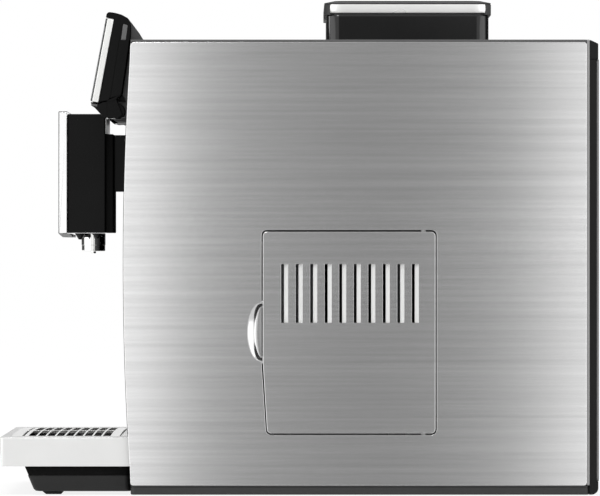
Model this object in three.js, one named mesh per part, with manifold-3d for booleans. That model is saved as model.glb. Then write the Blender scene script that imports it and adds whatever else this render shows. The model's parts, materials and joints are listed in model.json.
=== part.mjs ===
// Bean to cup coffee machine, in millimetres, +Z up, front towards -Y.
// The origin is the middle of the footprint, on the surface that the machine stands on.
import * as THREE from 'three';
import { mergeVertices } from 'three/addons/utils/BufferGeometryUtils.js';
import Module from 'manifold-3d';

const wasm = await Module();
wasm.setup();

// Clearances and cuts
const fit = 0.3; // between two pieces, one seated on the other
const slide = 0.8; // around a piece that moves
const running = 0.5; // around a shaft in its hole
const overrun = 3; // how far a cutter passes the face that it cuts

// Counts of steps on round forms
const bowSteps = 12;
const crownSteps = 6;
const cornerSteps = 4;
const pinSides = 16;
const drumSides = 28;
const bowlSides = 24;

// Casing
const bodyWidth = 302;
const casingTop = 339.75; // top edge of the steel side panels
const casingBottom = 7.1;
const casingFront = 126.4; // ahead of the middle, at the panel's top and bottom
const casingBow = 5.8; // how far the front edge bulges at half height
const casingRear = 215.8;
const panelSheet = 1.5;
const wallThickness = 2.5;
const frontSkin = 3;
const coverRise = 1.85; // the top cover above the side panels
const coverThickness = 1.5;
const coverSkirt = 8;
const coverInset = 0.4;
const rearSheet = 1.6;
const rearInset = 0.5;
const backThickness = 7;
const backWall = 2.5;
const backChamfer = 3.4;
const backShoulderDrop = 11.75; // below the casing's top the back panel starts to lean in
const backLean = 0.5;
const airSlotRows = 13;
const airSlotPitch = 9;
const airSlotHeight = 4;
const airSlotBottom = 90; // of the lowest row
const airSlotInner = 30; // from the middle to each of the two columns
const airSlotMargin = 30.5; // from each column to the panel's edge

// Base and feet
const baseInset = 0.6;
const baseCorner = 3.5;
const baseGround = 0.8; // under the base
const footRadius = 13;
const footPocket = 2.4;
const footInsetX = 24;
const footInsetY = 26;

// Deck that carries the grinder
const deckSheet = 2;
const deckSetback = 20.4; // behind the casing's front
const deckTankGap = 4;

// Service door in the right side
const doorFront = -28.2;
const doorRear = 103.4;
const doorBottom = 45;
const doorDrop = 141; // below the casing's top
const doorCorner = 4;
const doorGap = 1;
const doorKneeRise = 55; // above the door's bottom, and below it the front edge runs rearward
const doorKneeRun = 3.5;
const doorPlate = 3;
const doorPlateInset = 6;
const doorRecessInset = 15;
const doorPivotInset = 10; // from the opening's rear edge
const doorPivotDepth = 4.5; // behind the panel's outer face
const doorPinRadius = 1.8;
const doorPinReach = 4.4;
const lugDepth = 4.4;
const lugLength = 8;
const lugHeight = 5.2;
const slotCount = 10;
const slotWidthShare = 0.4954; // of the slots' pitch
const slotFrontMargin = 14.7;
const slotRearMargin = 13.4;
const slotDrop = 25.5; // below the door's top
const slotHeight = 44.1;

// Finger recess at the door's front edge
const recessReach = 10.4;
const recessHeight = 44.2;
const recessPlaceShare = 0.5015; // of the door's height
const recessDepth = 9;
const recessWall = 1.6;
const recessBehindDoor = 11;
const recessRunBack = 1.2;

// Console, given by its hinge and by the slope of its face
const consoleInset = 16; // each end, inside the casing's side
const hingeReach = 10.2; // ahead of the casing's front
const hingeDrop = 51.75; // below the casing's top
const faceFootReach = 19.8; // ahead of the hinge
const faceFootRise = 7.6;
const faceHeadReach = 8;
const faceHeadRise = 70.6;
const glassThickness = 1.2;
const glassInset = 0.5;
const bezelThickness = 4.6;
const bezelBorder = 9;
const bezelEnd = 24;
const displayBorder = 2;
const displayThickness = 3.4;
const housingInset = 0.4;
// As shares of the face's length: up the face, and behind it
const housingShares = [
  [1.0685, 0.0015],
  [1.0722, 0.0722],
  [1.0614, 0.1583],
  [1.0373, 0.2248],
  [1.0058, 0.2767],
  [0.7713, 0.3127],
  [0.1449, 0.3332],
  [0.048, 0.2561],
  [-0.0351, 0.0161],
];
const lobeShares = [
  [-0.0284, 0.018],
  [-0.1382, 0.1434],
  [-0.1816, 0.2086],
  [-0.1649, 0.2214],
  [0.0559, 0.18],
  [0.0341, 0.0635],
];
const armInset = 23.6; // each arm, inside the console's end
const armThickness = 13.4;
const armRadius = 5.2;
const armHalf = 4.4; // above and below the hinge
const hingePinRadius = 3;
const hingeHeadRadius = 5.8;
const hingeHeadThickness = 2.4;

// Mount behind the console
const mountInset = 23;
const mountDrop = 9; // below the hinge
const mountLugReach = 6.4; // ahead of the hinge
const mountSetback = 8.3; // behind the casing's front
const mountWebRise = 9; // above the hinge
const mountLugRise = 6;
const mountLugThickness = 13;
const mountShares = [
  [0.147, 0.3439],
  [0.7733, 0.3234],
  [1.0001, 0.2889],
];

// Front panel, with the drawer front in it
const drawerInset = 51;
const drawerRise = 69; // above the tray

// Spout
const spoutHalf = 42;
const spoutReach = 51.4; // ahead of the casing's front
const spoutDepth = 29.5;
const spoutDrop = 51.75; // below the casing's top
const spoutHeight = 91.1;
const spoutWall = 2.5;
const spoutBackDepth = 6.1;
const spoutBackDrop = 15.4;
const plateOverhang = 2.5; // past the housing on each side
const plateThickness = 6.6;
const plateRise = 2;
const plateLipDepth = 10.4;
const plateLipDrop = 3.4;
const plateChamfer = 3;
const neckHalf = 18;
const neckDrop = 0.4; // below the top of the spout's back
const neckHeight = 43.6;
const spoutTravel = 60;
const carriageHalf = 33;
const carriageSetback = 1.4; // behind the casing's front
const carriageDepth = 10;
const rodSpread = 26;
const rodSetback = 6.4;
const rodRadius = 3;
const railBar = 5;
const railSetback = 13.4;
const railHalf = 36;
const sleeveSetback = 18.9; // behind the spout's front
const sleeveRadius = 9.35;
const sleeveDrop = 14.4;
const sleeveTipRadius = 1.95;
const sleeveTipDrop = 1.5;
const nozzleSpread = 17;
const nozzleRadius = 3.9;
const nozzleTipRadius = 2.5;
const nozzleBore = 1.6;
const nozzleBoreDepth = 3;
const coffeeNozzleSetback = 9.1;
const coffeeNozzleDrop = 5.1;
const milkNozzleSetback = 22.2;
const milkNozzleDrop = 4.3;

// Drip tray drawer
const trayInset = 6; // each end, inside the casing's side
const trayReach = 98.6; // ahead of the casing's front
const trayTuck = 14.4; // its rear edge, behind the casing's front
const trayTop = 43;
const trayHeight = 21.8;
const trayWall = 2.5;
const trayFrontCorner = 2.5;
const grilleInset = 24; // inside the tray's end
const grilleFrontInset = 8;
const grilleRearInset = 24;
const grilleSheet = 1.2;
const grilleCrown = 1.2;
const grilleLedge = 2.5;
const grilleSlotCount = 10;
const grilleSlotShare = 0.7589; // of the slots' pitch
const grilleSlotFrontMargin = 10.2;
const grilleSlotRearMargin = 2;
const grilleSlotMargin = 13.5; // from the grille's end
const grilleSlotInner = 4.5;
const basinInset = 7; // inside the tray's end
const basinFrontInset = 18.5; // behind the tray's front
const basinFootInset = 8.3;
const basinGround = 2.4;
const basinRound = 3;
const basinWall = 2;
const tubHeight = 14; // the basin's rim, inside the tray cover
const basinReach = 160; // behind the tray's rear
const basinLeftInset = 50; // its shallow part, inside the casing's sides
const basinRightInset = 102;
const basinDeepInset = 15.2; // ahead of the tray's rear
const trayFootSetback = 5.2; // behind the front of the basin's flat bottom
const trayFootFrontSlope = 2.7;
const trayFootFlat = 11.2;
const trayFootRearSlope = 2.1;
const trayFootInset = 28;
const groundsHeight = 98;
const groundsWall = 2;

// Hopper and its lid
const hopperInset = 56; // each side, inside the casing's side
const hopperDepth = 123;
const hopperTankGap = 8;
const hopperHeight = 70;
const hopperCorner = 9;
const hopperWall = 2.2;
const hopperOutletRadius = 16;
const rimProud = 1.8;
const rimGap = 1.5; // above the bin
const rimHeight = 6.8;
const rimWall = 4;
const lidRise = 2.7; // above the rim
const lidChamferRun = 8;
const lidEdge = 0.7;
const lidPlugDepth = 5; // inside the bin
const lidWall = 2.5;
const adjusterX = -45;
const adjusterRadius = 14;
const adjusterHeight = 18;
const adjusterGrip = 4;
const adjusterGripHeight = 6;
const adjusterSpindle = 4;

// Grinder
const grinderSetback = 62; // ahead of the hopper's rear
const grinderHeight = 62.05;
const motorRadius = 30;
const motorHeight = 22;
const motorSocket = 8;
const grinderRadius = 42;
const grinderWall = 4;
const grinderFloor = 5;
const burrRadius = 34;
const burrShaftRadius = 5;
const lowerBurrRise = 22.35; // above the grinder's underside
const lowerBurrHeight = 10;
const burrGap = 1.5;
const upperBurrHeight = 10;
const upperBurrBore = 15;
const chuteHalf = 11;
const chuteWall = 2;
const chuteMouthRise = 8.35; // above the grinder's underside
const chuteMouthHeight = 22;
const chuteFall = 15;

// Brew unit behind the door
const brewInset = 53; // inside the casing's right side
const brewY = 40;
const brewFrameReachLeft = 38;
const brewFrameReachRight = 36;
const brewFrameFront = -22;
const brewFrameRear = 84;
const brewFrameSheet = 3;
const brewFrameDrop = 13.05; // below the deck
const brewWebBottom = 60;
const brewOuterRadius = 26;
const brewBoreRadius = 20;
const brewHead = 20; // above the piston at the end of its stroke
const brewDrop = 21.05; // below the deck
const brewHeight = 66;
const brewFlange = 10;
const brewFlangeHalf = 24;
const pistonHeight = 12;
const rodBrewRadius = 6;
const pistonTravel = 30;
const driveHalf = 27;
const driveTop = 56;
const driveSocket = 34;

// Water tank at the rear
const tankLeftInset = 58; // inside the casing's sides
const tankRightInset = 79;
const tankRearInset = 4.3; // ahead of the casing's rear
const tankDepth = 59.5;
const tankBottom = 100;
const tankWall = 2.2;
const tankSpigotRadius = 8;
const tankSpigotDrop = 9;
const tankSpigotBore = 4;
const tankLidThickness = 2;
const tankLidFlange = 1.5;
const tankLidLip = 4;
const tankSeatWall = 3;
const tankSeatInset = 6;

// Pump and heater on the left
const heaterDepth = 34;
const heaterFront = -70;
const heaterRear = 30;
const heaterDrop = 15.05; // below the deck
const heaterHeight = 65;
const heaterStub = 5;
const heaterStubReach = 8;
const pumpInset = 27; // inside the casing's left side
const pumpZ = 34;
const pumpRadius = 17;
const pumpFront = 62;
const pumpRear = 140;
const pumpSaddleHalf = 12;
const pumpNoseRadius = 9;
const pumpNose = 10;

// Control board on the deck
const boardInset = 13; // inside the casing's left side
const boardWidth = 84;
const boardFront = -98;
const boardRear = 8;
const boardSheet = 1.6;
const boardLeg = 5;
const boardLegInset = 8;
const boardLegRadius = 3;
const boardPartHeight = 14;
const boardPartSize = 26;

// Mains inlet and power switch in the back
const inletInset = 25; // inside the casing's right side
const inletWidth = 28;
const inletBottom = 30;
const inletTop = 54;
const inletDepth = 26;
const inletProudBack = 0.5;
const inletWall = 3;
const inletHollow = 17;
const inletPin = 2;
const inletPinLength = 12;
const inletPinSpread = 7;
const inletPinOffset = 2;
const switchWidth = 20;
const switchWall = 1.6;
const switchHollow = 12;
const rockerProud = 2.4;
const rockerDepth = 6;
const rockerTilt = THREE.MathUtils.degToRad(8);

// Finishes
const steel = { color: '#b4b5b6', roughness: 0.32, metalness: 0.9 };
const chrome = { color: '#dcdcde', roughness: 0.1, metalness: 1 };
const bright = { color: '#dfdfe0', roughness: 0.3, metalness: 0.7 };
const blackGloss = { color: '#1e1e20', roughness: 0.15, metalness: 0 };
const blackMatt = { color: '#2a2a2b', roughness: 0.55, metalness: 0 };
const darkGrey = { color: '#454546', roughness: 0.5, metalness: 0 };
const lightGrey = { color: '#dededd', roughness: 0.5, metalness: 0 };
const galvanised = { color: '#a0a3a4', roughness: 0.45, metalness: 0.8 };
const rubber = { color: '#1b1b1b', roughness: 0.9, metalness: 0 };
const glass = { color: '#0b0b0d', roughness: 0.05, metalness: 0 };
const clear = { color: '#c9d4d8', roughness: 0.1, metalness: 0, transparent: true, opacity: 0.5 };
const board = { color: '#1f5a38', roughness: 0.5, metalness: 0 };
const castAlloy = { color: '#8f9193', roughness: 0.5, metalness: 0.8 };
const hardSteel = { color: '#7d7f82', roughness: 0.3, metalness: 1 };

// Places worked out from the sizes above
const half = bodyWidth / 2;
const panelIn = half - panelSheet;
const wallOut = panelIn - fit;
const wallIn = wallOut - wallThickness;
const casingMiddle = (casingTop + casingBottom) / 2;
const baseTop = casingBottom - fit;
const coverBottom = casingTop + fit;
const coverTop = casingTop + coverRise;
const rearFrameFront = casingRear + fit;
const backFront = rearFrameFront + rearSheet + fit;
const backRear = backFront + backThickness;
const backShoulder = casingTop - backShoulderDrop;

// Door and deck
const doorTop = casingTop - doorDrop;
const doorKneeHeight = doorBottom + doorKneeRise;
const slotPitchShare = 1 / (slotCount - 1 + slotWidthShare);
const slotPitch = (doorRear - doorFront - slotFrontMargin - slotRearMargin) * slotPitchShare;
const slotWidth = slotPitch * slotWidthShare;
const slotFirst = doorFront + slotFrontMargin;
const slotTop = doorTop - slotDrop;
const slotBottom = slotTop - slotHeight;
const recessMiddle = doorBottom + (doorTop - doorBottom) * recessPlaceShare;
const doorPivotX = half - doorPivotDepth;
const doorPivotY = doorRear - doorPivotInset;
const deckHeight = doorTop + slide + lugHeight + fit;
const deckTop = deckHeight + deckSheet;

// Tank and deck's reach
const tankLeft = tankLeftInset - half;
const tankRight = half - tankRightInset;
const tankRear = casingRear - tankRearInset;
const tankFront = tankRear - tankDepth;
const deckFront = casingFront - deckSetback;
const deckRear = tankFront - deckTankGap;

// Grinder and hopper
const motorTop = deckTop + fit + motorHeight;
const grinderBottom = motorTop + fit;
const grinderTop = grinderBottom + grinderHeight;
const hopperFloor = grinderTop + fit;
const hopperTop = hopperFloor + hopperHeight;
const hopperHalf = half - hopperInset;
const hopperRear = tankFront - hopperTankGap;
const hopperFront = hopperRear - hopperDepth;
const grinderY = hopperRear - grinderSetback;
const lowerBurrBottom = grinderBottom + lowerBurrRise;
const lowerBurrTop = lowerBurrBottom + lowerBurrHeight;
const upperBurrBottom = lowerBurrTop + burrGap;
const upperBurrSpan = [upperBurrBottom, upperBurrBottom + upperBurrHeight];
const upperBurrRadius = grinderRadius - grinderWall - running;
const pinionRadius = -adjusterX - upperBurrRadius - fit;
const chuteMouthBottom = grinderBottom + chuteMouthRise;
const chuteMouthTop = chuteMouthBottom + chuteMouthHeight;
const rimBottom = hopperTop + rimGap;
const rimTop = rimBottom + rimHeight;
const lidTop = rimTop + lidRise;
const lidPlugBottom = hopperTop - lidPlugDepth;

// Console and mount
const consoleHalf = half - consoleInset;
const armOuter = consoleHalf - armInset;
const armInner = armOuter - armThickness;
const hingeY = -casingFront - hingeReach;
const hingeZ = casingTop - hingeDrop;
const faceFootY = hingeY - faceFootReach;
const faceFootZ = hingeZ + faceFootRise;
const faceHeadY = hingeY - faceHeadReach;
const faceHeadZ = hingeZ + faceHeadRise;
const lean = Math.atan2(faceHeadY - faceFootY, faceHeadZ - faceFootZ);
const faceLength = Math.hypot(faceHeadY - faceFootY, faceHeadZ - faceFootZ);
const mountHalf = half - mountInset;
const mountBottom = hingeZ - mountDrop;
const mountBack = casingFront - mountSetback;
const mountWebFoot = hingeZ + mountWebRise;
const mountLugTop = hingeZ + mountLugRise;
const mountFootY = hingeY + hingeHeadRadius + fit;

// Spout
const spoutFront = casingFront + spoutReach;
const spoutRear = spoutFront - spoutDepth;
const spoutBackRear = spoutRear - spoutBackDepth;
const spoutTop = casingTop - spoutDrop;
const spoutBottom = spoutTop - spoutHeight;
const spoutBackTop = spoutTop - spoutBackDrop;
const plateHalf = spoutHalf + plateOverhang;
const plateFront = spoutFront + plateThickness;
const plateTop = spoutTop + plateRise;
const plateLipRear = plateFront - plateLipDepth;
const neckTop = spoutBackTop - neckDrop;
const neckBottom = neckTop - neckHeight;
const carriageFront = casingFront - carriageSetback;
const carriageRear = carriageFront - carriageDepth;
const rodY = -casingFront + rodSetback;
const railRear = casingFront - railSetback;
const sleeveY = -spoutFront + sleeveSetback;
const sleeveBottom = spoutBottom - sleeveDrop;
const sleeveTipBottom = sleeveBottom - sleeveTipDrop;
const coffeeNozzleY = -spoutFront + coffeeNozzleSetback;
const coffeeNozzleBottom = spoutBottom - coffeeNozzleDrop;
const milkNozzleY = -spoutFront + milkNozzleSetback;
const milkNozzleBottom = spoutBottom - milkNozzleDrop;

// Tray drawer
const trayFloor = baseTop + slide;
const openingTop = trayTop + slide;
const trayBottom = trayTop - trayHeight;
const trayFront = casingFront + trayReach;
const trayRear = casingFront - trayTuck;
const trayHalf = half - trayInset;
const drawerHalf = half - drawerInset;
const drawerTop = trayTop + drawerRise;
const grilleHalf = trayHalf - grilleInset;
const grilleFront = trayFront - grilleFrontInset;
const grilleRear = trayRear + grilleRearInset;
const grilleDepth = grilleFront - grilleRear;
const grillePitchShare = 1 / (grilleSlotCount - 1 + grilleSlotShare);
const grilleSlotPitch =
  (grilleDepth - grilleSlotFrontMargin - grilleSlotRearMargin) * grillePitchShare;
const grilleSlotWidth = grilleSlotPitch * grilleSlotShare;
const grilleSlotFirst = -grilleFront + grilleSlotFrontMargin;
const grilleSlotOuter = grilleHalf - grilleSlotMargin;
const basinHalf = trayHalf - basinInset;
const basinLeft = basinLeftInset - half;
const basinRight = half - basinRightInset;
const basinFront = trayFront - basinFrontInset;
const basinFootY = -basinFront + basinFootInset;
const basinDeepRear = trayRear + basinDeepInset;
const basinRear = -trayRear + basinReach;
const trayFootHalf = basinHalf - trayFootInset;
const trayFootFront = basinFootY + trayFootSetback;
const trayFootFlatFront = trayFootFront + trayFootFrontSlope;
const trayFootFlatRear = trayFootFlatFront + trayFootFlat;
const trayFootRear = trayFootFlatRear + trayFootRearSlope;
const groundsFront = -trayRear;

// Brew unit, heater, pump, board and inlet
const brewX = half - brewInset;
const brewFrameLeft = brewX - brewFrameReachLeft;
const brewFrameRight = brewX + brewFrameReachRight;
const brewFrameTop = deckHeight - brewFrameDrop;
const brewTop = deckHeight - brewDrop;
const brewBottom = brewTop - brewHeight;
const pistonBottom = brewTop - brewHead - pistonTravel - pistonHeight;
const heaterTop = deckHeight - heaterDrop;
const heaterBottom = heaterTop - heaterHeight;
const pumpX = pumpInset - half;
const boardLeft = boardInset - half;
const boardRight = boardLeft + boardWidth;
const inletRight = half - inletInset;
const inletLeft = inletRight - inletWidth;

// A solid that can be cut and joined, from a closed geometry
function solid(geometry) {
  const bare = geometry.clone();
  bare.deleteAttribute('normal');
  bare.deleteAttribute('uv');
  const merged = mergeVertices(bare);
  const vertProperties = new Float32Array(merged.attributes.position.array);
  const triVerts = new Uint32Array(merged.index.array);
  return new wasm.Manifold(new wasm.Mesh({ numProp: 3, vertProperties, triVerts }));
}

// The geometry of a solid
function geometryOf(shape) {
  const { vertProperties, triVerts } = shape.getMesh();
  const geometry = new THREE.BufferGeometry();
  geometry.setAttribute('position', new THREE.BufferAttribute(vertProperties, 3));
  geometry.setIndex(new THREE.BufferAttribute(triVerts, 1));
  geometry.computeVertexNormals();
  return geometry;
}

const join = (first, ...others) => others.reduce((whole, next) => whole.add(next), first);
const cut = (first, ...others) => others.reduce((whole, next) => whole.subtract(next), first);

// A block between two corners
function block([x0, x1], [y0, y1], [z0, z1]) {
  const box = new THREE.BoxGeometry(x1 - x0, y1 - y0, z1 - z0);
  box.translate((x0 + x1) / 2, (y0 + y1) / 2, (z0 + z1) / 2);
  return solid(box);
}

// A closed outline through points
const outline = (points) => new THREE.Shape(points.map(([a, b]) => new THREE.Vector2(a, b)));

// A rectangle with round corners
function roundedOutline([a0, a1], [b0, b1], radius) {
  const shape = new THREE.Shape();
  const turn = Math.PI / 2;
  shape.absarc(a1 - radius, b1 - radius, radius, 0, turn);
  shape.absarc(a0 + radius, b1 - radius, radius, turn, 2 * turn);
  shape.absarc(a0 + radius, b0 + radius, radius, 2 * turn, 3 * turn);
  shape.absarc(a1 - radius, b0 + radius, radius, 3 * turn, 4 * turn);
  return shape;
}

function extruded(shape, depth, xAxis, yAxis, zAxis, offset) {
  const geometry = new THREE.ExtrudeGeometry(shape, {
    depth,
    bevelEnabled: false,
    curveSegments: cornerSteps,
  });
  geometry.applyMatrix4(new THREE.Matrix4().makeBasis(xAxis, yAxis, zAxis));
  geometry.translate(...offset);
  return solid(geometry);
}

const unitX = new THREE.Vector3(1, 0, 0);
const unitY = new THREE.Vector3(0, 1, 0);
const unitZ = new THREE.Vector3(0, 0, 1);
const backwards = new THREE.Vector3(0, -1, 0);

// An outline of (y, z) carried along X, of (x, z) along Y, or of (x, y) along Z
const alongX = (shape, [x0, x1]) => extruded(shape, x1 - x0, unitY, unitZ, unitX, [x0, 0, 0]);
const alongY = (shape, [y0, y1]) => extruded(shape, y1 - y0, unitX, unitZ, backwards, [0, y1, 0]);
const alongZ = (shape, [z0, z1]) => extruded(shape, z1 - z0, unitX, unitY, unitZ, [0, 0, z0]);

// A cylinder or cone along Z, from its lower to its upper end
function drum(x, y, [z0, z1], lowerRadius, upperRadius = lowerRadius, sides = drumSides) {
  const geometry = new THREE.CylinderGeometry(upperRadius, lowerRadius, z1 - z0, sides);
  geometry.rotateX(Math.PI / 2);
  geometry.translate(x, y, (z0 + z1) / 2);
  return solid(geometry);
}

// A cylinder along X
function bar([x0, x1], y, z, radius, sides = pinSides) {
  const geometry = new THREE.CylinderGeometry(radius, radius, x1 - x0, sides);
  geometry.rotateZ(Math.PI / 2);
  geometry.translate((x0 + x1) / 2, y, z);
  return solid(geometry);
}

// A cylinder along Y
function rodAlongY(x, [y0, y1], z, radius, sides = pinSides) {
  const geometry = new THREE.CylinderGeometry(radius, radius, y1 - y0, sides);
  geometry.translate(x, (y0 + y1) / 2, z);
  return solid(geometry);
}

// The casing's bowed front, as the Y of its face at a height
function frontAt(z) {
  const share = (z - casingMiddle) / (casingTop - casingMiddle);
  return -(casingFront + casingBow * (1 - share * share));
}

// Points down the bowed front between two heights, set back by a depth
function bowPoints(depth, [z0, z1]) {
  const points = [];
  for (let step = 0; step <= bowSteps; step += 1) {
    const z = z0 + ((z1 - z0) * step) / bowSteps;
    points.push([frontAt(z) + depth, z]);
  }
  return points;
}

// A plate outline with the bowed front and a straight rear
function bowedOutline(depth, [z0, z1], rear) {
  return outline([...bowPoints(depth, [z0, z1]).reverse(), [rear, z0], [rear, z1]]);
}

// A thin bowed strip that follows the front
function bowedStrip([z0, z1]) {
  return outline([...bowPoints(0, [z0, z1]).reverse(), ...bowPoints(frontSkin, [z0, z1])]);
}

// A point on the console's slope: a length up its face and a depth behind it
function onConsole(up, depth) {
  const y = faceFootY + up * Math.sin(lean) + depth * Math.cos(lean);
  const z = faceFootZ + up * Math.cos(lean) - depth * Math.sin(lean);
  return [y, z];
}

// An outline from shares of the face's length
const consoleOutline = (shares) =>
  shares.map(([up, depth]) => onConsole(up * faceLength, depth * faceLength));

function consoleBox([up0, up1], [depth0, depth1], [x0, x1]) {
  const corners = [
    onConsole(up0, depth0),
    onConsole(up0, depth1),
    onConsole(up1, depth1),
    onConsole(up1, depth0),
  ];
  return alongX(outline(corners), [x0, x1]);
}

const group = new THREE.Group();

function addPiece(name, shape, finish) {
  const mesh = new THREE.Mesh(geometryOf(shape), new THREE.MeshStandardMaterial(finish));
  mesh.name = name;
  group.add(mesh);
}

const mirrored = (side, [x0, x1]) => (side > 0 ? [x0, x1] : [-x1, -x0]);
const sideNames = [
  ['right', 1],
  ['left', -1],
];

// Base pan with a pocket for each foot
const footX = half - footInsetX;
const footYs = [frontAt(casingBottom) + footInsetY, backRear - footInsetY];
const footPlaces = footYs.flatMap((y, row) =>
  sideNames.map(([side, sign]) => [`foot_${row ? 'rear' : 'front'}_${side}`, sign * footX, y]),
);

function basePan() {
  const front = frontAt(casingBottom);
  const rear = backRear - rearInset;
  const profile = new THREE.Shape();
  profile.moveTo(front, baseTop);
  profile.lineTo(front, baseGround);
  profile.lineTo(rear - baseCorner, baseGround);
  profile.absarc(rear - baseCorner, baseGround + baseCorner, baseCorner, -Math.PI / 2, 0);
  profile.lineTo(rear, baseTop);
  const edge = half - baseInset;
  const pockets = footPlaces.map(([, x, y]) =>
    drum(x, y, [baseGround - overrun, baseGround + footPocket + fit], footRadius + fit),
  );
  return cut(alongX(profile, [-edge, edge]), ...pockets);
}

addPiece('base_pan', basePan(), darkGrey);
for (const [name, x, y] of footPlaces) {
  addPiece(name, drum(x, y, [0, baseGround + footPocket], footRadius), rubber);
}

// Side panels and the chassis walls behind them
function doorOutline(inset, corner) {
  const front = doorFront + inset;
  const rear = doorRear - inset;
  const bottom = doorBottom + inset;
  const top = doorTop - inset;
  const shape = new THREE.Shape();
  const turn = Math.PI / 2;
  const lowerFront = front + doorKneeRun;
  shape.absarc(rear - corner, top - corner, corner, 0, turn);
  shape.absarc(front + corner, top - corner, corner, turn, 2 * turn);
  shape.lineTo(front, doorKneeHeight);
  shape.absarc(lowerFront + corner, bottom + corner, corner, 2 * turn, 3 * turn);
  shape.absarc(rear - corner, bottom + corner, corner, 3 * turn, 4 * turn);
  return shape;
}

function ellipsoid(depth, reach, height) {
  const geometry = new THREE.SphereGeometry(1, bowlSides, bowlSides / 2);
  geometry.rotateX(Math.PI / 2);
  geometry.scale(depth, reach, height);
  geometry.translate(half, doorFront, recessMiddle);
  return solid(geometry);
}

const recessCutter = (grow) =>
  ellipsoid(recessDepth + grow, recessReach + grow, recessHeight / 2 + grow);

function sidePanel(side) {
  const plate = alongX(
    bowedOutline(0, [casingBottom, casingTop], casingRear),
    mirrored(side, [panelIn, half]),
  );
  if (side < 0) return plate;
  const window = [panelIn - overrun, half + overrun];
  const oval = recessOval(0);
  return cut(plate, alongX(doorOutline(0, doorCorner), window), alongX(oval, window));
}

// The finger recess seen square on
function recessOval(grow) {
  const points = [];
  for (let side = 0; side < bowlSides; side += 1) {
    const angle = (2 * Math.PI * side) / bowlSides;
    const y = doorFront + (recessReach + grow) * Math.cos(angle);
    const z = recessMiddle + (recessHeight / 2 + grow) * Math.sin(angle);
    points.push([y, z]);
  }
  return outline(points);
}

function chassisWall(side) {
  const plate = alongX(
    bowedOutline(frontSkin + fit, [casingBottom, casingTop], casingRear),
    mirrored(side, [wallIn, wallOut]),
  );
  if (side < 0) return plate;
  const window = [wallIn - overrun, wallOut + overrun];
  const doorway = block(
    window,
    [doorFront - slide, doorRear + doorGap * 2 + slide],
    [doorBottom - slide, doorTop + slide],
  );
  const recess = alongX(recessOval(recessWall + fit), window);
  const lugs = [
    [doorTop + slide, doorTop + slide + lugHeight],
    [doorBottom - slide - lugHeight, doorBottom - slide],
  ].map((span) =>
    block(
      [wallIn - lugDepth, wallOut],
      [doorPivotY - lugLength, doorPivotY + lugLength],
      span,
    ),
  );
  const pinHole = drum(
    doorPivotX,
    doorPivotY,
    [doorBottom - slide - lugHeight - overrun, doorTop + slide + lugHeight + overrun],
    doorPinRadius + running,
    doorPinRadius + running,
    pinSides,
  );
  return cut(join(cut(plate, doorway, recess), ...lugs), pinHole);
}

for (const [side, sign] of sideNames) {
  addPiece(`${side}_side_panel`, sidePanel(sign), steel);
  addPiece(`${side}_chassis_wall`, chassisWall(sign), blackMatt);
}

function fingerRecessCup() {
  const shell = cut(recessCutter(recessWall), recessCutter(0));
  const behind = half - panelSheet - doorPlate - slide;
  const outside = block(
    [half - recessRunBack, half + recessDepth * 2],
    [doorFront - recessReach * 2, doorFront + recessReach * 2],
    [recessMiddle - recessHeight, recessMiddle + recessHeight],
  );
  const sweep = block(
    [behind, half + recessDepth],
    [doorFront - slide, doorFront + recessReach * 2],
    [recessMiddle - recessHeight, recessMiddle + recessHeight],
  );
  const beyond = block(
    [half - recessDepth * 2, half + recessDepth],
    [doorFront + recessBehindDoor, doorFront + recessReach * 2],
    [recessMiddle - recessHeight, recessMiddle + recessHeight],
  );
  const sheet = alongX(recessOval(0), [panelIn - fit, half]);
  const backing = cut(
    block(
      [panelIn - fit, half],
      [doorFront - recessReach * 2, doorFront],
      [recessMiddle - recessHeight, recessMiddle + recessHeight],
    ),
    sheet,
  );
  return cut(shell, outside, sweep, beyond, backing);
}

addPiece('finger_recess_cup', fingerRecessCup(), lightGrey);

// Service door: a steel skin on a plate that carries its pivots
function doorSkin() {
  const skin = alongX(doorOutline(doorGap, doorCorner - doorGap), [panelIn, half]);
  const slots = [];
  for (let index = 0; index < slotCount; index += 1) {
    const y = slotFirst + index * slotPitch;
    slots.push(
      block([panelIn - overrun, half + overrun], [y, y + slotWidth], [slotBottom, slotTop]),
    );
  }
  return cut(skin, ...slots);
}

function doorInnerPlate() {
  const outer = panelIn - fit;
  const inner = outer - doorPlate;
  const plate = block(
    [inner, outer],
    [doorFront + doorRecessInset, doorRear - doorPlateInset],
    [doorBottom + doorGap + slide, doorTop - doorGap - slide],
  );
  const barrel = drum(
    doorPivotX,
    doorPivotY,
    [doorBottom + doorGap, doorTop - doorGap],
    doorPinRadius + running,
    doorPinRadius + running,
    pinSides,
  );
  const pin = drum(
    doorPivotX,
    doorPivotY,
    [doorBottom - slide - doorPinReach, doorTop + slide + doorPinReach],
    doorPinRadius,
    doorPinRadius,
    pinSides,
  );
  const skinSide = block(
    [outer, half],
    [doorFront, doorRear],
    [doorBottom - lugHeight * 2, doorTop + lugHeight * 2],
  );
  return cut(join(plate, barrel, pin), skinSide);
}

addPiece('door_skin', doorSkin(), steel);
addPiece('door_inner_plate', doorInnerPlate(), lightGrey);

// Deck, with a hole for the ground coffee
const chuteX = brewX;

function chassisDeck() {
  const plate = block(
    [-wallIn + fit, wallIn - fit],
    [-deckFront, deckRear],
    [deckHeight, deckTop],
  );
  const hole = block(
    [chuteX - chuteHalf - chuteWall - fit, chuteX + chuteHalf + chuteWall + fit],
    [grinderY - chuteHalf - chuteWall - fit, grinderY + chuteHalf + chuteWall + fit],
    [deckHeight - overrun, deckTop + overrun],
  );
  return cut(plate, hole);
}

addPiece('chassis_deck', chassisDeck(), galvanised);

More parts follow.
